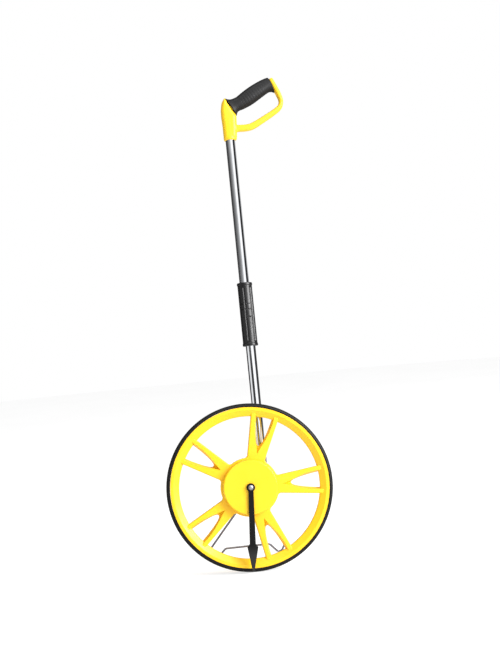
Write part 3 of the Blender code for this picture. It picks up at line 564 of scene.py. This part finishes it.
def make_wheel():
    """Rim, hollowed forked spokes and hub core as one moulding."""
    angles = [SPOKE_ANGLE + 2 * pi * spoke / SPOKES for spoke in range(SPOKES)]
    corners = [corner for angle in angles for corner in spoke_outline(angle)]
    spokes = plate([rounded(corners), circle(HUB_BORE, 48)], SPOKE_FRONT, SPOKE_BACK, SPOKE_EDGE)
    scoops = merged(*[scoop_cutter(angle) for angle in angles])
    half, inner = RIM_OUTER_HALF, RIM_INNER_HALF
    section = [(RIM_RADIUS, -half, 0.0005), (RIM_LIP_RADIUS, -half, 0.0013),
               (RIM_BORE_RADIUS, -inner, 0.0022), (RIM_BORE_RADIUS, inner, 0.0022),
               (RIM_LIP_RADIUS, half, 0.0013), (RIM_RADIUS, half, 0.0005)]
    rim = turned(rounded(section, steps=4), steps=240)
    core = [(HUB_BORE, HUB_NOSE_FRONT, 0), (HUB_NOSE_RADIUS, HUB_NOSE_FRONT, 0.001),
            (HUB_NOSE_RADIUS, HUB_STEP, 0), (HUB_TAIL_RADIUS, HUB_STEP, 0),
            (HUB_TAIL_RADIUS, HUB_TAIL_BACK, 0.0008), (HUB_BORE, HUB_TAIL_BACK, 0)]
    body = combined(combined(spokes, "DIFFERENCE", scoops), "UNION", rim, turned(rounded(core), steps=96))
    add_piece("wheel_body", body, "yellow", "wheel_set", "yellow_plastic", "wheel", crease=24)


def make_tyre():
    """Round-shouldered tyre with two fine grooves round its tread."""
    half, inner = TYRE_HIGH.y, RIM_RADIUS + GAP
    bead, bead_slope, inset = inner + 0.0016, 0.0005, 0.0006
    groove_place, groove_half, groove_depth = 0.0026, 0.0006, 0.0007
    floor = WHEEL_RADIUS - groove_depth
    tread = [(inner, -half + inset, 0.0004), (bead, -half + inset, 0.0003),
             (bead + bead_slope, -half, 0.0003), (WHEEL_RADIUS, -half, TYRE_SHOULDER)]
    for groove in (-groove_place, groove_place):
        tread += [(WHEEL_RADIUS, groove - groove_half, 0.0002), (floor, groove - groove_half / 2, 0.0001),
                  (floor, groove + groove_half / 2, 0.0001), (WHEEL_RADIUS, groove + groove_half, 0.0002)]
    tread += [(WHEEL_RADIUS, half, TYRE_SHOULDER), (bead + bead_slope, half, 0.0003),
              (bead, half - inset, 0.0003), (inner, half - inset, 0.0004)]
    mesh = turned(rounded(tread), steps=240)
    add_piece("tyre_tread", mesh, "tyre", "wheel_set", "tyre_rubber", "tyre")


def make_hub_cover():
    low, high = node_box("hub_cover")
    radius, face, seat = high.x, low.y, high.y
    hole, wall, draft, skirt = AXLE_RADIUS + 0.0012, 0.0022, 0.0009, 0.0024
    section = [(hole, face, 0.0004), (radius - draft, face, 0.0024), (radius, seat - skirt, 0.0006),
               (radius, seat, 0.0003), (radius - wall, seat, 0), (radius - wall, face + wall, 0.003),
               (hole, face + wall, 0)]
    mesh = turned(rounded(section, steps=8), steps=192)
    add_piece("hub_disc", mesh, "yellow", "wheel_set", "yellow_plastic", "hub_cover")


# -------- pointer and screws
def make_pointer():
    """Hanging arm with an arrowhead, as far from plumb as its CAD node."""
    low, high = node_box("pointer")
    tip = [place for place in node_places("pointer") if place.z < low.z + 0.001]
    middle = sum(tip, Vector()) / len(tip)
    swing = atan2(middle.x, -middle.z)
    ring, neck_half, end_half = 0.008, 0.0048, 0.0058
    shoulder, widest, barb, tip_half = 0.105, 0.111, 0.0103, 0.0016
    turn = asin(neck_half / ring)
    loop = [(x, z, 0) for x, z in arc((0, 0), ring, -pi / 2 + turn, 3 * pi / 2 - turn, 40)]
    half = [(-neck_half, -ring - 0.002, 0.002), (-end_half, -shoulder, 0.002), (-barb, -widest, 0.0012),
            (-tip_half, -POINTER_LENGTH, 0.0006)]
    outline = rounded(loop + half + other_half(half))
    hole, collar_bore, collar_radius = 0.0032, 0.0033, 0.0066
    collar_front, collar_back = low.y - 0.0004, low.y + 0.001
    arrow = plate([outline, circle(hole, 40)], low.y, high.y, 0.0005)
    collar = turned(rounded([(collar_bore, collar_front, 0.0002), (collar_radius, collar_front, 0.0003),
                             (collar_radius, collar_back, 0), (collar_bore, collar_back, 0)]), steps=64)
    mesh = combined(arrow, "UNION", collar)
    mesh.transform(Matrix.Rotation(-swing, 4, "Y"))
    add_piece("pointer_arrow", mesh, "pointer", "pointer_arm", "black_plastic", "pointer")


def screw_mesh(head_radius, head_height, length):
    """Pan-head screw with a cross recess, its head's top at y = 0 and its shank towards +Y."""
    section = [(0, 0, 0), (head_radius * 0.55, 0, head_radius * 0.8),
               (head_radius, head_height * 0.55, head_radius * 0.18), (head_radius, head_height, 0.0001),
               (SCREW_SHANK_RADIUS, head_height, 0), (SCREW_SHANK_RADIUS, length, 0.0002), (0, length, 0)]
    body = turned(rounded(section, steps=8), steps=64)
    recess_half = head_radius * 0.5
    arm_half, depth = recess_half * 0.24, head_height * 0.62
    recess = [block((-a, -0.001, -b), (a, depth, b), arm_half * 0.4, 2)
              for a, b in ((recess_half, arm_half), (arm_half, recess_half))]
    return combined(body, "DIFFERENCE", *recess)


def make_screws():
    low, high = node_box("pointer_screw")
    mesh = screw_mesh(high.x, 0.0024, high.y - low.y)
    mesh.transform(Matrix.Translation((0, low.y, 0)))
    add_piece("pointer_screw_head", mesh, "steel", "frame", "plated_steel", "pointer_screw")
    for node, body in (("tube_screw", "frame"), ("handle_screw", "upper_shaft")):
        low, high = node_box(node)
        middle = (low + high) / 2
        mesh = screw_mesh((high.x - low.x) / 2, 0.0018, high.y - low.y)
        mesh.transform(Matrix.Translation((middle.x, high.y, middle.z)) @ Matrix.Rotation(pi, 4, "X"))
        add_piece(node + "_head", mesh, "steel", body, "plated_steel", node)


def make_axle_nut():
    """Hexagon nut, its corners turned off at both faces."""
    low, high = node_box("axle_nut")
    across, thick, bore = high.x, high.y - low.y, 0.0043
    hexagon = plate([circle(across, 6), circle(bore, 40)], low.y, high.y, 0.0002, 1)
    face, widest, chamfer_depth = across * 0.86, across * 1.02, thick * 0.22
    chamfer = [(0, low.y - 0.001), (face, low.y - 0.001), (widest, low.y + chamfer_depth),
               (widest, high.y - chamfer_depth), (face, high.y + 0.0002), (0, high.y + 0.0002)]
    mesh = combined(hexagon, "INTERSECT", turned(chamfer, steps=64))
    add_piece("hex_nut", mesh, "steel", "frame", "plated_steel", "axle_nut")


# -------- counter
def make_housing():
    """Hollow counter case with a window bezel, a tube collar, a stand lug and a boss round the axle's nut."""
    left, right, bottom = HOUSING_LOW.x, HOUSING_HIGH.x, HOUSING_BOTTOM
    front, back, wall, edge = HOUSING_LOW.y, HOUSING_BACK, HOUSING_WALL, 0.0022
    outline = rounded([(left, bottom, 0.012), (right, bottom, 0.013), (right, SOCKET_TOP, 0.003),
                       (SOCKET_LEFT, SOCKET_TOP, 0.001), (SOCKET_LEFT, HOUSING_TOP, 0.003),
                       (left, HOUSING_TOP, 0.013)], steps=10)
    body = plate([outline], front, back, edge, 4)
    window_low, window_high = node_box("counter_window")
    rim, rim_depth, rim_height = 0.0022, 0.003, 0.0009
    bezel = block((window_low.x - rim, window_low.y - rim, HOUSING_TOP - rim_depth),
                  (window_high.x + rim, window_high.y + rim, HOUSING_TOP + rim_height), 0.0008)
    tube_room = TUBE_RADIUS + GAP
    collar_foot, collar_top = SOCKET_TOP - 0.004, SOCKET_TOP + 0.0022
    collar_section = [(tube_room, collar_foot, 0), (TUBE_RADIUS + 0.0032, collar_foot, 0),
                      (TUBE_RADIUS + 0.0028, collar_top, 0.0008), (tube_room, collar_top, 0.0003)]
    collar = turned(rounded(collar_section, steps=5), steps=72, along_z=True)
    collar.transform(AT_SHAFT)
    lug_half, lug_reach = 0.0074, 0.0058
    lug = block((STAND_PIVOT.x - lug_half, back - 0.006, STAND_PIVOT.z - lug_reach),
                (STAND_PIVOT.x + lug_half, STAND_PIVOT.y + lug_reach, STAND_PIVOT.z + lug_reach), 0.0034, 5)
    rib_half, rib_inset = 0.0011, 0.010
    ribs = [block((left + rib_inset, back - 0.002, z - rib_half),
                  (SOCKET_LEFT - rib_inset, back + 0.0007, z + rib_half), 0.0006) for z in (0.0205, 0.0255)]
    boss_bore, boss_radius, boss_back = 0.0086, 0.0115, back + 0.0008
    boss_section = [(boss_bore, back - 0.003, 0), (boss_radius, back - 0.003, 0),
                    (boss_radius, boss_back, 0.0006), (boss_bore + 0.0006, boss_back, 0.0004),
                    (boss_bore, back - 0.001, 0)]
    boss = turned(rounded(boss_section), steps=72)
    solid = combined(body, "UNION", bezel, collar, lug, boss, *ribs)

    room = block((left + wall, front - 0.01, bottom + wall),
                 (SOCKET_LEFT - wall, back - wall, HOUSING_TOP - wall), 0.003)
    drums = node_box("drum_1")[0].y, node_box("drum_5")[1].y
    cut_low, cut_high = HOUSING_TOP - 0.02, HOUSING_TOP + 0.01
    hole = block((window_low.x - GAP, drums[0] - GAP, cut_low),
                 (window_high.x + GAP, drums[1] + GAP, cut_high), 0.0003, 1)
    button_low, button_high = node_box("reset_button")
    flange = BUTTON_FLANGE - GAP
    button_hole = block((button_low.x + flange, button_low.y + flange, cut_low),
                        (button_high.x - flange, button_high.y - flange, cut_high), 0.0012)
    nut_room, nut_seat = 0.0092, 0.0508
    screw_room, screw_height = 0.0018, 0.016
    bores = [bar(tube_room, (SHAFT.x, SHAFT.y, -0.012), (SHAFT.x, SHAFT.y, 0.06), 72),
             bar(nut_room, (0, nut_seat, 0), (0, 0.07, 0), 64),
             bar(AXLE_RADIUS + GAP, (0, 0, 0), (0, 0.055, 0)),
             cross_bar(STAND_WIRE + GAP, STAND_PIVOT, 0.03, 32),
             bar(screw_room, (SHAFT.x, 0.044, screw_height), (SHAFT.x, 0.07, screw_height), 32)]
    mesh = combined(solid, "DIFFERENCE", room, hole, button_hole, *bores)
    add_piece("counter_case", mesh, "black", "frame", "black_plastic", "counter_housing")


def make_window_and_button():
    low, high = node_box("counter_window")
    add_piece("window_pane", block(low, high, 0.0004, 2), "window", "frame", "clear_window",
              "counter_window")
    low, high = node_box("reset_button")
    top = block((low.x + BUTTON_FLANGE, low.y + BUTTON_FLANGE, low.z + 0.001),
                (high.x - BUTTON_FLANGE, high.y - BUTTON_FLANGE, high.z), 0.0011)
    foot = block(low, (high.x, high.y, HOUSING_TOP - HOUSING_WALL - GAP), 0.0004, 2)
    middle = (low + high) / 2
    dish_radius, dish_rise = 0.0300, 0.0291
    groove_radius, groove_pitch, groove_drop = 0.0005, 0.0024, 0.0004
    dish = cross_bar(dish_radius, (middle.x, middle.y, high.z + dish_rise), 0.02, 160)
    grooves = [cross_bar(groove_radius, (middle.x, middle.y + step * groove_pitch, high.z - groove_drop),
                         0.003, 16) for step in (-1, 0, 1)]
    mesh = combined(combined(top, "UNION", foot), "DIFFERENCE", dish, *grooves)
    add_piece("reset_key", mesh, "red", "button", "red_plastic", "reset_button")


def digit_band(radius, middle):
    """The digits 0 to 9 laid round a drum, 0 at the top, tops towards +X."""
    shape = bmesh.new()
    for digit in range(10):
        text = bpy.data.curves.new("digit", "FONT")
        text.body = str(digit)
        text.size = DIGIT_SIZE
        text.align_x = "CENTER"
        text.align_y = "CENTER"
        text.extrude = DIGIT_RELIEF
        mesh = curve_mesh(text)
        turn = -2 * pi * digit / 10
        for vertex in mesh.vertices:
            along, out = -vertex.co.x, radius + vertex.co.z
            angle = pi / 2 + turn - vertex.co.y / radius
            vertex.co = (out * cos(angle), middle + along, out * sin(angle))
        shape.from_mesh(mesh)
    return bake(shape)


def make_drums():
    bodies = ("first_drum", "second_drum", "third_drum", "fourth_drum", "fifth_drum")
    place = Matrix.Translation((DRUM_AXIS.x, 0, DRUM_AXIS.z))
    for number, body in enumerate(bodies, 1):
        node = f"drum_{number}"
        low, high = node_box(node)
        radius, bore = high.x - DRUM_AXIS.x, 0.0022
        sunk = high.y - 0.0007
        section = [(radius, low.y, 0.0003), (radius, high.y, 0.0003), (radius - 0.0016, high.y, 0.0002),
                   (radius - 0.0024, sunk, 0), (bore + 0.0025, sunk, 0), (bore, high.y, 0), (bore, low.y, 0)]
        drum = turned(rounded(section, steps=3), steps=120)
        drum.transform(place)
        add_piece(f"number_drum_{number}", drum, "white", body, "white_plastic", node)
        band = digit_band(radius + DIGIT_RELIEF / 2, (low.y + high.y) / 2)
        band.transform(place)
        add_piece(f"drum_digits_{number}", band, "ink", body, "black_plastic")


# -------- shaft
def make_tube(name, node, body):
    low, high = node_box(node)
    inner = TUBE_RADIUS - TUBE_WALL
    section = [(TUBE_RADIUS, high.z, 0.0004), (TUBE_RADIUS, low.z, 0.0004), (inner, low.z, 0.0003),
               (inner, high.z, 0.0003)]
    mesh = turned(rounded(section, steps=4), steps=96, along_z=True)
    mesh.transform(AT_SHAFT)
    add_piece(name, mesh, "chrome", body, "chrome_tube", node)


def eased(value):
    value = min(max(value, 0.0), 1.0)
    return value * value * (3 - 2 * value)


def make_sleeve():
    """Locking sleeve: flanged ends, long flutes, and three short finger cuts across each panel."""
    length = SLEEVE_HIGH.z - SLEEVE_LOW.z
    flange, collar = 0.0045, 0.014
    flutes, first = 6, radians(12)
    flute_half, flute_depth = 0.0023, 0.0014
    cuts = [length - place for place in (0.042, 0.053, 0.068)]
    cut_half, cut_depth = 0.0008, 0.0009
    flute_run_out, land = 0.004, 0.0010
    chamfer = 0.0008
    outer = rounded([(SLEEVE_FLANGE_RADIUS, 0, 0), (SLEEVE_FLANGE_RADIUS, flange, 0.0008),
                     (SLEEVE_RADIUS, flange + 0.0012, 0)], steps=4, closed=False)[1:]
    outer = [(SLEEVE_FLANGE_RADIUS - chamfer, 0), (SLEEVE_FLANGE_RADIUS, chamfer), *outer]
    start, end, steps = flange + 0.003, length - flange - 0.003, 150
    middle = [(SLEEVE_RADIUS, start + (end - start) * step / steps) for step in range(steps + 1)]
    upper = [(radius, length - z) for radius, z in reversed(outer)]
    bore = [(SLEEVE_BORE, length), (SLEEVE_BORE, collar + 0.002), (TUBE_RADIUS + GAP, collar),
            (TUBE_RADIUS + GAP, 0)]
    sides = 240
    rings = []
    for radius, z in outer + middle + upper + bore:
        fade = eased((z - start) / flute_run_out) * eased((end - z) / flute_run_out)
        ring = []
        for side in range(sides):
            angle = 2 * pi * side / sides
            dent = 0.0
            if radius >= SLEEVE_RADIUS - 1e-9 and fade > 0:
                step = 2 * pi / flutes
                off = abs((angle - first + step / 2) % step - step / 2) * radius
                dent = flute_depth * fade * max(0.0, 1 - off / flute_half)
                panel = eased((off - flute_half - land) / 0.0008)
                for place in cuts:
                    dent += cut_depth * panel * max(0.0, 1 - abs(z - place) / cut_half)
            ring.append(((radius - dent) * cos(angle), (radius - dent) * sin(angle), z))
        rings.append(ring)
    mesh = loft(rings, ring_closed=True)
    mesh.transform(Matrix.Translation((SHAFT.x, SHAFT.y, SLEEVE_LOW.z)))
    add_piece("fluted_sleeve", mesh, "sleeve", "sleeve", "black_plastic", "lock_sleeve")


# -------- handle
def handle_point(along, across):
    """Place in the handle's plane, measured along the grip from its start and square to it."""
    return (GRIP_START[0] + along * cos(GRIP_TILT) - across * sin(GRIP_TILT),
            GRIP_START[1] + along * sin(GRIP_TILT) + across * cos(GRIP_TILT))


def oval(centre, ahead, above, below, depth, sides, power):
    """Rounded section square to the way ahead: reach above and below it, and to each side."""
    normal = Vector((-ahead.y, ahead.x))
    ring = []
    for side in range(sides):
        angle = 2 * pi * side / sides
        across = abs(cos(angle)) ** (2 / power) * (above if cos(angle) > 0 else -below)
        aside = abs(sin(angle)) ** (2 / power) * (depth if sin(angle) > 0 else -depth)
        x, z = centre + normal * across
        ring.append((x, aside, z))
    return ring


def along_stations(stations, steps):
    """Smooth rows between stations of equal length, by Catmull-Rom."""
    rows = [np.array(station, float) for station in stations]
    rows = [2 * rows[0] - rows[1], *rows, 2 * rows[-1] - rows[-2]]
    made = []
    for p0, p1, p2, p3 in zip(rows, rows[1:], rows[2:], rows[3:]):
        for step in range(steps):
            t = step / steps
            made.append(0.5 * (2 * p1 + (p2 - p0) * t + (2 * p0 - 5 * p1 + 4 * p2 - p3) * t ** 2
                               + (3 * p1 - p0 - 3 * p2 + p3) * t ** 3))
    return made + [rows[-2]]


def swept(stations, steps=10, power=2.5):
    """Bar through (x, z, half width, half depth) stations in the handle's plane."""
    rows, sides = along_stations(stations, steps), 40
    rings = []
    for index, (x, z, half, depth) in enumerate(rows):
        before, after = rows[max(index - 1, 0)], rows[min(index + 1, len(rows) - 1)]
        ahead = Vector((after[0] - before[0], after[1] - before[1])).normalized()
        rings.append(oval(Vector((x, z)), ahead, half, half, depth, sides, power))
    return loft(rings)


def make_handle():
    """D-shaped handle melted from a neck, a strap, a socket and the grip's core, with the grip on it."""
    at_handle = Matrix.Translation((SHAFT.x, SHAFT.y, HANDLE_LOW.z))
    upper, lower = handle_point(0, 0.0250), handle_point(0, -0.0192)
    neck_outline = rounded([(-0.0122, 0.001, 0), (0.0132, 0.001, 0), (0.0148, 0.014, 0.010),
                            (0.0166, 0.042, 0.010), (*lower, 0.0012), (*upper, 0.0012),
                            (-0.0104, 0.0768, 0.012), (-0.0131, 0.0630, 0.014), (-0.0134, 0.048, 0.02),
                            (-0.0124, 0.030, 0.02)])
    neck = plate([neck_outline], -0.0124, 0.0124, 0.0085, 7)
    strap = swept([(0.004, 0.0236, 0.0066, 0.0098), (0.020, 0.0235, 0.0065, 0.0100),
                   (0.036, 0.0236, 0.0064, 0.0102), (0.049, 0.0268, 0.0064, 0.0103),
                   (0.072, 0.0389, 0.0058, 0.0104), (0.092, 0.0504, 0.0053, 0.0104),
                   (0.1040, 0.0590, 0.0050, 0.0104), (0.1083, 0.0672, 0.0046, 0.0104),
                   (0.1088, 0.0760, 0.0045, 0.0104), (0.1046, 0.0895, 0.0050, 0.0105),
                   (0.0983, 0.1040, 0.0051, 0.0106), (0.0927, 0.1168, 0.0050, 0.0100),
                   (0.0917, 0.1190, 0.0042, 0.0085)], steps=8, power=2.6)
    barrel_top = SOCKET_DEPTH - 0.001
    barrel = turned(rounded([(0, 0, 0), (SOCKET_RADIUS, 0, 0.0012), (SOCKET_RADIUS, barrel_top, 0.002),
                             (0, barrel_top, 0)]), steps=64, along_z=True)
    core = swept([(*handle_point(along, 0), CORE_RADIUS, CORE_RADIUS)
                  for along in (-0.006, 0.045, GRIP_LENGTH + 0.003)], power=2)
    frame_mesh = softened(merged(neck, strap, barrel, core), 0.0007, 26)
    screw_room, screw_seat, screw_height = 0.0036, 0.0118, 0.009
    bores = [bar(TUBE_RADIUS + GAP, (0, 0, -0.01), (0, 0, SOCKET_DEPTH), 72),
             bar(screw_room, (0, screw_seat, screw_height), (0, 0.02, screw_height), 40)]
    frame_mesh = combined(frame_mesh, "DIFFERENCE", *bores)
    frame_mesh.transform(at_handle)
    add_piece("handle_moulding", frame_mesh, "handle", "upper_shaft", "yellow_plastic",
              "handle_frame", crease=50)

    grip = grip_mesh()
    grip.transform(at_handle)
    add_piece("ribbed_grip", grip, "grip", "upper_shaft", "grip_rubber", "grip", crease=50)


def grip_mesh():
    """Rubber grip: flared at the neck, swelling in the palm, with a finger stop and fine cross ribs."""
    stations = [(0.0004, 0.0238, 0.0186, 0.0130), (0.0014, 0.0228, 0.0178, 0.0131),
                (0.0038, 0.0198, 0.0156, 0.0126), (0.0078, 0.0168, 0.0128, 0.0123),
                (0.0125, 0.0152, 0.0123, 0.0124), (0.0200, 0.0141, 0.0138, 0.0128),
                (0.0262, 0.0147, 0.0145, 0.0132), (0.0360, 0.0160, 0.0153, 0.0138),
                (0.0472, 0.0170, 0.0151, 0.0141), (0.0584, 0.0175, 0.0142, 0.0139),
                (0.0700, 0.0173, 0.0132, 0.0134), (0.0790, 0.0167, 0.0125, 0.0129),
                (0.0850, 0.0160, 0.0127, 0.0126), (0.0890, 0.0153, 0.0140, 0.0124),
                (0.0922, 0.0147, 0.0160, 0.0122), (0.0946, 0.0139, 0.0188, 0.0120),
                (0.0952, 0.0132, 0.0186, 0.0114)]
    rib_start, rib_end, rib_run_out, rib_pitch, rib_depth = 0.018, 0.078, 0.006, 0.0058, 0.00030
    upper_shear, lower_shear, shear_start, shear_run = 0.06, 0.20, 0.070, 0.022
    rings = []
    for along, above, below, depth in along_stations(stations, 14):
        inside = eased((along - rib_start) / rib_run_out) * eased((rib_end - along) / rib_run_out)
        wave = max(0.0, cos(2 * pi * along / rib_pitch)) ** 8
        shrink = rib_depth * inside * wave
        centre = Vector(handle_point(along, 0))
        ahead = Vector((cos(GRIP_TILT), sin(GRIP_TILT)))
        lean = eased((along - shear_start) / shear_run)
        ring = []
        for x, y, z in oval(centre, ahead, above - shrink, below - shrink, depth - shrink, 72, 2.15):
            across = (z - centre.y) * ahead.x - (x - centre.x) * ahead.y
            slip = lean * across * (upper_shear if across > 0 else lower_shear)
            ring.append((x + slip * ahead.x, y, z + slip * ahead.y))
        rings.append(ring)
    outer = loft(rings)
    start, end = handle_point(-0.01, 0), handle_point(GRIP_LENGTH + 0.01, 0)
    core_room = bar(CORE_ROOM, (start[0], 0, start[1]), (end[0], 0, end[1]), 64)
    return combined(outer, "DIFFERENCE", core_room)


# -------- wire stand
def make_stand():
    """One bent wire: two ends in the lug, knees, feet on the floor and the raised bar between them."""
    rise = (STAND_WIRE - TOOL.translation.z + STAND_FOOT_Y * sin(LEAN)) / cos(LEAN)
    leg = Vector((STAND_FOOT_Y - STAND_PIVOT.y, rise - STAND_PIVOT.z))
    length = leg.length
    leg.normalize()
    half = [(STAND_END_HALF, 0, 0), (STAND_SHOULDER_HALF, 0, 0.003),
            (STAND_KNEE_HALF, length - STAND_KNEE_RISE, 0.009), (STAND_FOOT_HALF, length, 0.007),
            (STAND_BAR_HALF, length - STAND_BAR_RISE, 0.007)]
    path = rounded(half + other_half(half), steps=10, closed=False)
    stretch = length / max(down for across, down in path)     # so that the rounded feet reach the floor
    curve = bpy.data.curves.new("stand", "CURVE")
    curve.dimensions = "3D"
    curve.bevel_depth = STAND_WIRE
    curve.bevel_resolution = 5
    curve.use_fill_caps = True
    spline = curve.splines.new("POLY")
    spline.points.add(len(path) - 1)
    for point, (across, down) in zip(spline.points, path):
        point.co = (across, stretch * down * leg.x, stretch * down * leg.y, 1)
    mesh = curve_mesh(curve)
    mesh.transform(Matrix.Translation(STAND_PIVOT))
    add_piece("stand_wire_frame", mesh, "wire", "wire_stand", "stand_wire", "stand", crease=50)


# -------- CAD nodes that stay in sight
def finish_cad_nodes():
    """Finishes for the CAD nodes whose own shape is right."""
    kept = {"brass": ("front_bush", "rear_bush"),
            "white": ("drive_gear", "counter_gear"),
            "black": ("housing_cover", "hinge_fork", "hinge_tongue", "pointer_washer"),
            "steel": ("axle", "counter_shaft", "hinge_pin", *(f"cover_screw_{n}" for n in range(1, 5)))}
    for key, nodes in kept.items():
        for node in nodes:
            mesh = frame["nodes"][node].data
            mesh.materials.clear()
            mesh.materials.append(FINISH[key])


# -------- studio
def make_studio():
    """Bright round floor, less bright where it is mirrored, and soft light from the right."""
    shape = bmesh.new()
    bmesh.ops.create_circle(shape, cap_ends=True, segments=128, radius=FLOOR_RADIUS)
    mesh = bpy.data.meshes.new("floor")
    shape.to_mesh(mesh)
    shape.free()
    floor = placed("studio_floor", mesh)
    paper = Finish("paper", colour(196, 196, 196), specular=0.1)
    paper.mixed(colour(193, 193, 193), paper.ranged(paper.noise(3), 0.4, 0.6, 0.0, 1.0))
    paper.gloss(paper.noise(40), 0.85, 0.95)
    paper.inputs["Emission Color"].default_value = (1, 1, 1, 1)
    reflected = paper.added("ShaderNodeLightPath", "Is Glossy Ray", {})
    paper.feed("Emission Strength", paper.ranged(reflected, 0, 1, FLOOR_GLOW, 0))
    mesh.materials.append(paper.material)

    def softbox(name, place, size, power):
        light = bpy.data.lights.new(name, "AREA")
        light.shape = "RECTANGLE"
        light.size, light.size_y = size
        light.energy = power
        lamp = placed(name, light)
        aim = TOOL @ Vector((0, 0, LAMPS_AIM_HEIGHT))
        lamp.location = place
        lamp.rotation_mode = "QUATERNION"
        lamp.rotation_quaternion = (aim - Vector(place)).to_track_quat("-Z", "Y")
        return lamp

    key = softbox("key_softbox", (2.15, -1.80, 1.55), (1.8, 1.8), 150)
    softbox("top_softbox", (-0.4, -0.6, 2.8), (1.6, 1.6), 12)
    # the key light's square reflection would show in the chrome
    mirrors = bpy.data.collections.new("shaded_from_key")
    for name in ("lower_chrome_tube", "upper_chrome_tube"):
        mirrors.objects.link(bpy.data.objects[name])
    for member in mirrors.collection_objects:
        member.light_linking.link_state = "EXCLUDE"
    key.light_linking.receiver_collection = mirrors


def make_world():
    """White surroundings, with walls of light and dark bands that only mirror-like surfaces see."""
    world = bpy.data.worlds.new("studio")
    bpy.context.scene.world = world
    world.use_nodes = True
    sky = Shading(world.node_tree)
    way = sky.added("ShaderNodeTexCoord", "Generated", {})
    x, y, z = [sky.added("ShaderNodeSeparateXYZ", axis, {"Vector": way}) for axis in "XYZ"]
    turn = sky.ranged(sky.added("ShaderNodeMath", "Value", {0: x, 1: y}, operation="ARCTAN2"), -pi, pi)

    def walls(stops):
        """Brightness all round: degrees from the camera's side, positive towards +X."""
        shade = sky.added("ShaderNodeValToRGB", "Color", {"Fac": turn})
        ramp = shade.node.color_ramp
        ordered = sorted((0.5 + (180 - turned_by if turned_by > 0 else -180 - turned_by) / 360, value)
                         for turned_by, value in stops)
        for index, (position, value) in enumerate(ordered):
            stop = ramp.elements[index] if index < 2 else ramp.elements.new(position)
            stop.position = position
            stop.color = (value, value, value, 1)
        return shade

    low = walls([(-179, 0.03), (-105, 0.03), (-97, 1.0), (-57, 1.1), (-49, 0.05), (0, 0.05), (9, 1.4),
                 (58, 1.4), (66, 0.05), (150, 0.06), (160, 0.3), (179, 0.3)])
    high = walls([(-179, 0.06), (-95, 0.06), (-85, 0.14), (-42, 0.30), (-20, 0.55), (0, 0.8), (12, 1.4),
                  (46, 1.4), (53, 0.03), (108, 0.03), (118, 0.7), (179, 0.6)])
    top = walls([(-179, 0.06), (-97, 0.06), (-86, 0.50), (-42, 0.66), (-20, 0.8), (0, 1.0), (12, 1.3),
                 (50, 1.3), (58, 0.03), (140, 0.03), (150, 0.5), (179, 0.4)])
    sloping = sky.added("ShaderNodeMath", "Value", {0: y, 1: WALL_SLOPE, 2: z}, operation="MULTIPLY_ADD")
    upper = sky.blended(sky.ranged(z, HIGH_WALL_END, TOP_WALL_START), high, top)
    reflected = sky.blended(sky.ranged(sloping, LOW_WALL_END, HIGH_WALL_START), low, upper)
    grey, white = (*[SURROUNDING_LIGHT] * 3, 1), (1, 1, 1, 1)
    lit = sky.blended(sky.added("ShaderNodeLightPath", "Is Glossy Ray", {}), grey, reflected)
    seen = sky.blended(sky.added("ShaderNodeLightPath", "Is Camera Ray", {}), lit, white)
    sky.tree.links.new(seen, sky.tree.nodes["Background"].inputs["Color"])


def make_camera():
    """The photograph's view: angles from the wheel's outline and the tube, in the tool's frame."""
    azimuth, elevation, roll = radians(-4.678), radians(-5.111), radians(-5.653)
    distance, aim = 2.2, Vector((SHAFT.x, 0, 0.309))
    frame_heights_of_focus = 1.7495
    back = Vector((sin(azimuth) * cos(elevation), -cos(azimuth) * cos(elevation), sin(elevation)))
    right = (-back).cross(Vector((0, 0, 1))).normalized()
    up = back.cross(right)
    rolled_right = right * cos(roll) + up * sin(roll)
    rolled_up = up * cos(roll) - right * sin(roll)
    data = bpy.data.cameras.new("camera")
    data.sensor_width = 36.0
    data.lens = data.sensor_width * frame_heights_of_focus
    camera = placed("camera", data)
    turn = Matrix((rolled_right, rolled_up, back)).transposed().to_4x4()
    camera.matrix_world = TOOL @ Matrix.Translation(aim + back * distance) @ turn
    bpy.context.scene.camera = camera
    bpy.context.scene.view_settings.view_transform = "Standard"


make_wheel()
make_tyre()
make_hub_cover()
make_pointer()
make_screws()
make_axle_nut()
make_housing()
make_window_and_button()
make_drums()
make_tube("lower_chrome_tube", "lower_tube", "frame")
make_tube("upper_chrome_tube", "upper_tube", "upper_shaft")
make_sleeve()
make_handle()
make_stand()
finish_cad_nodes()
make_studio()
make_world()
make_camera()
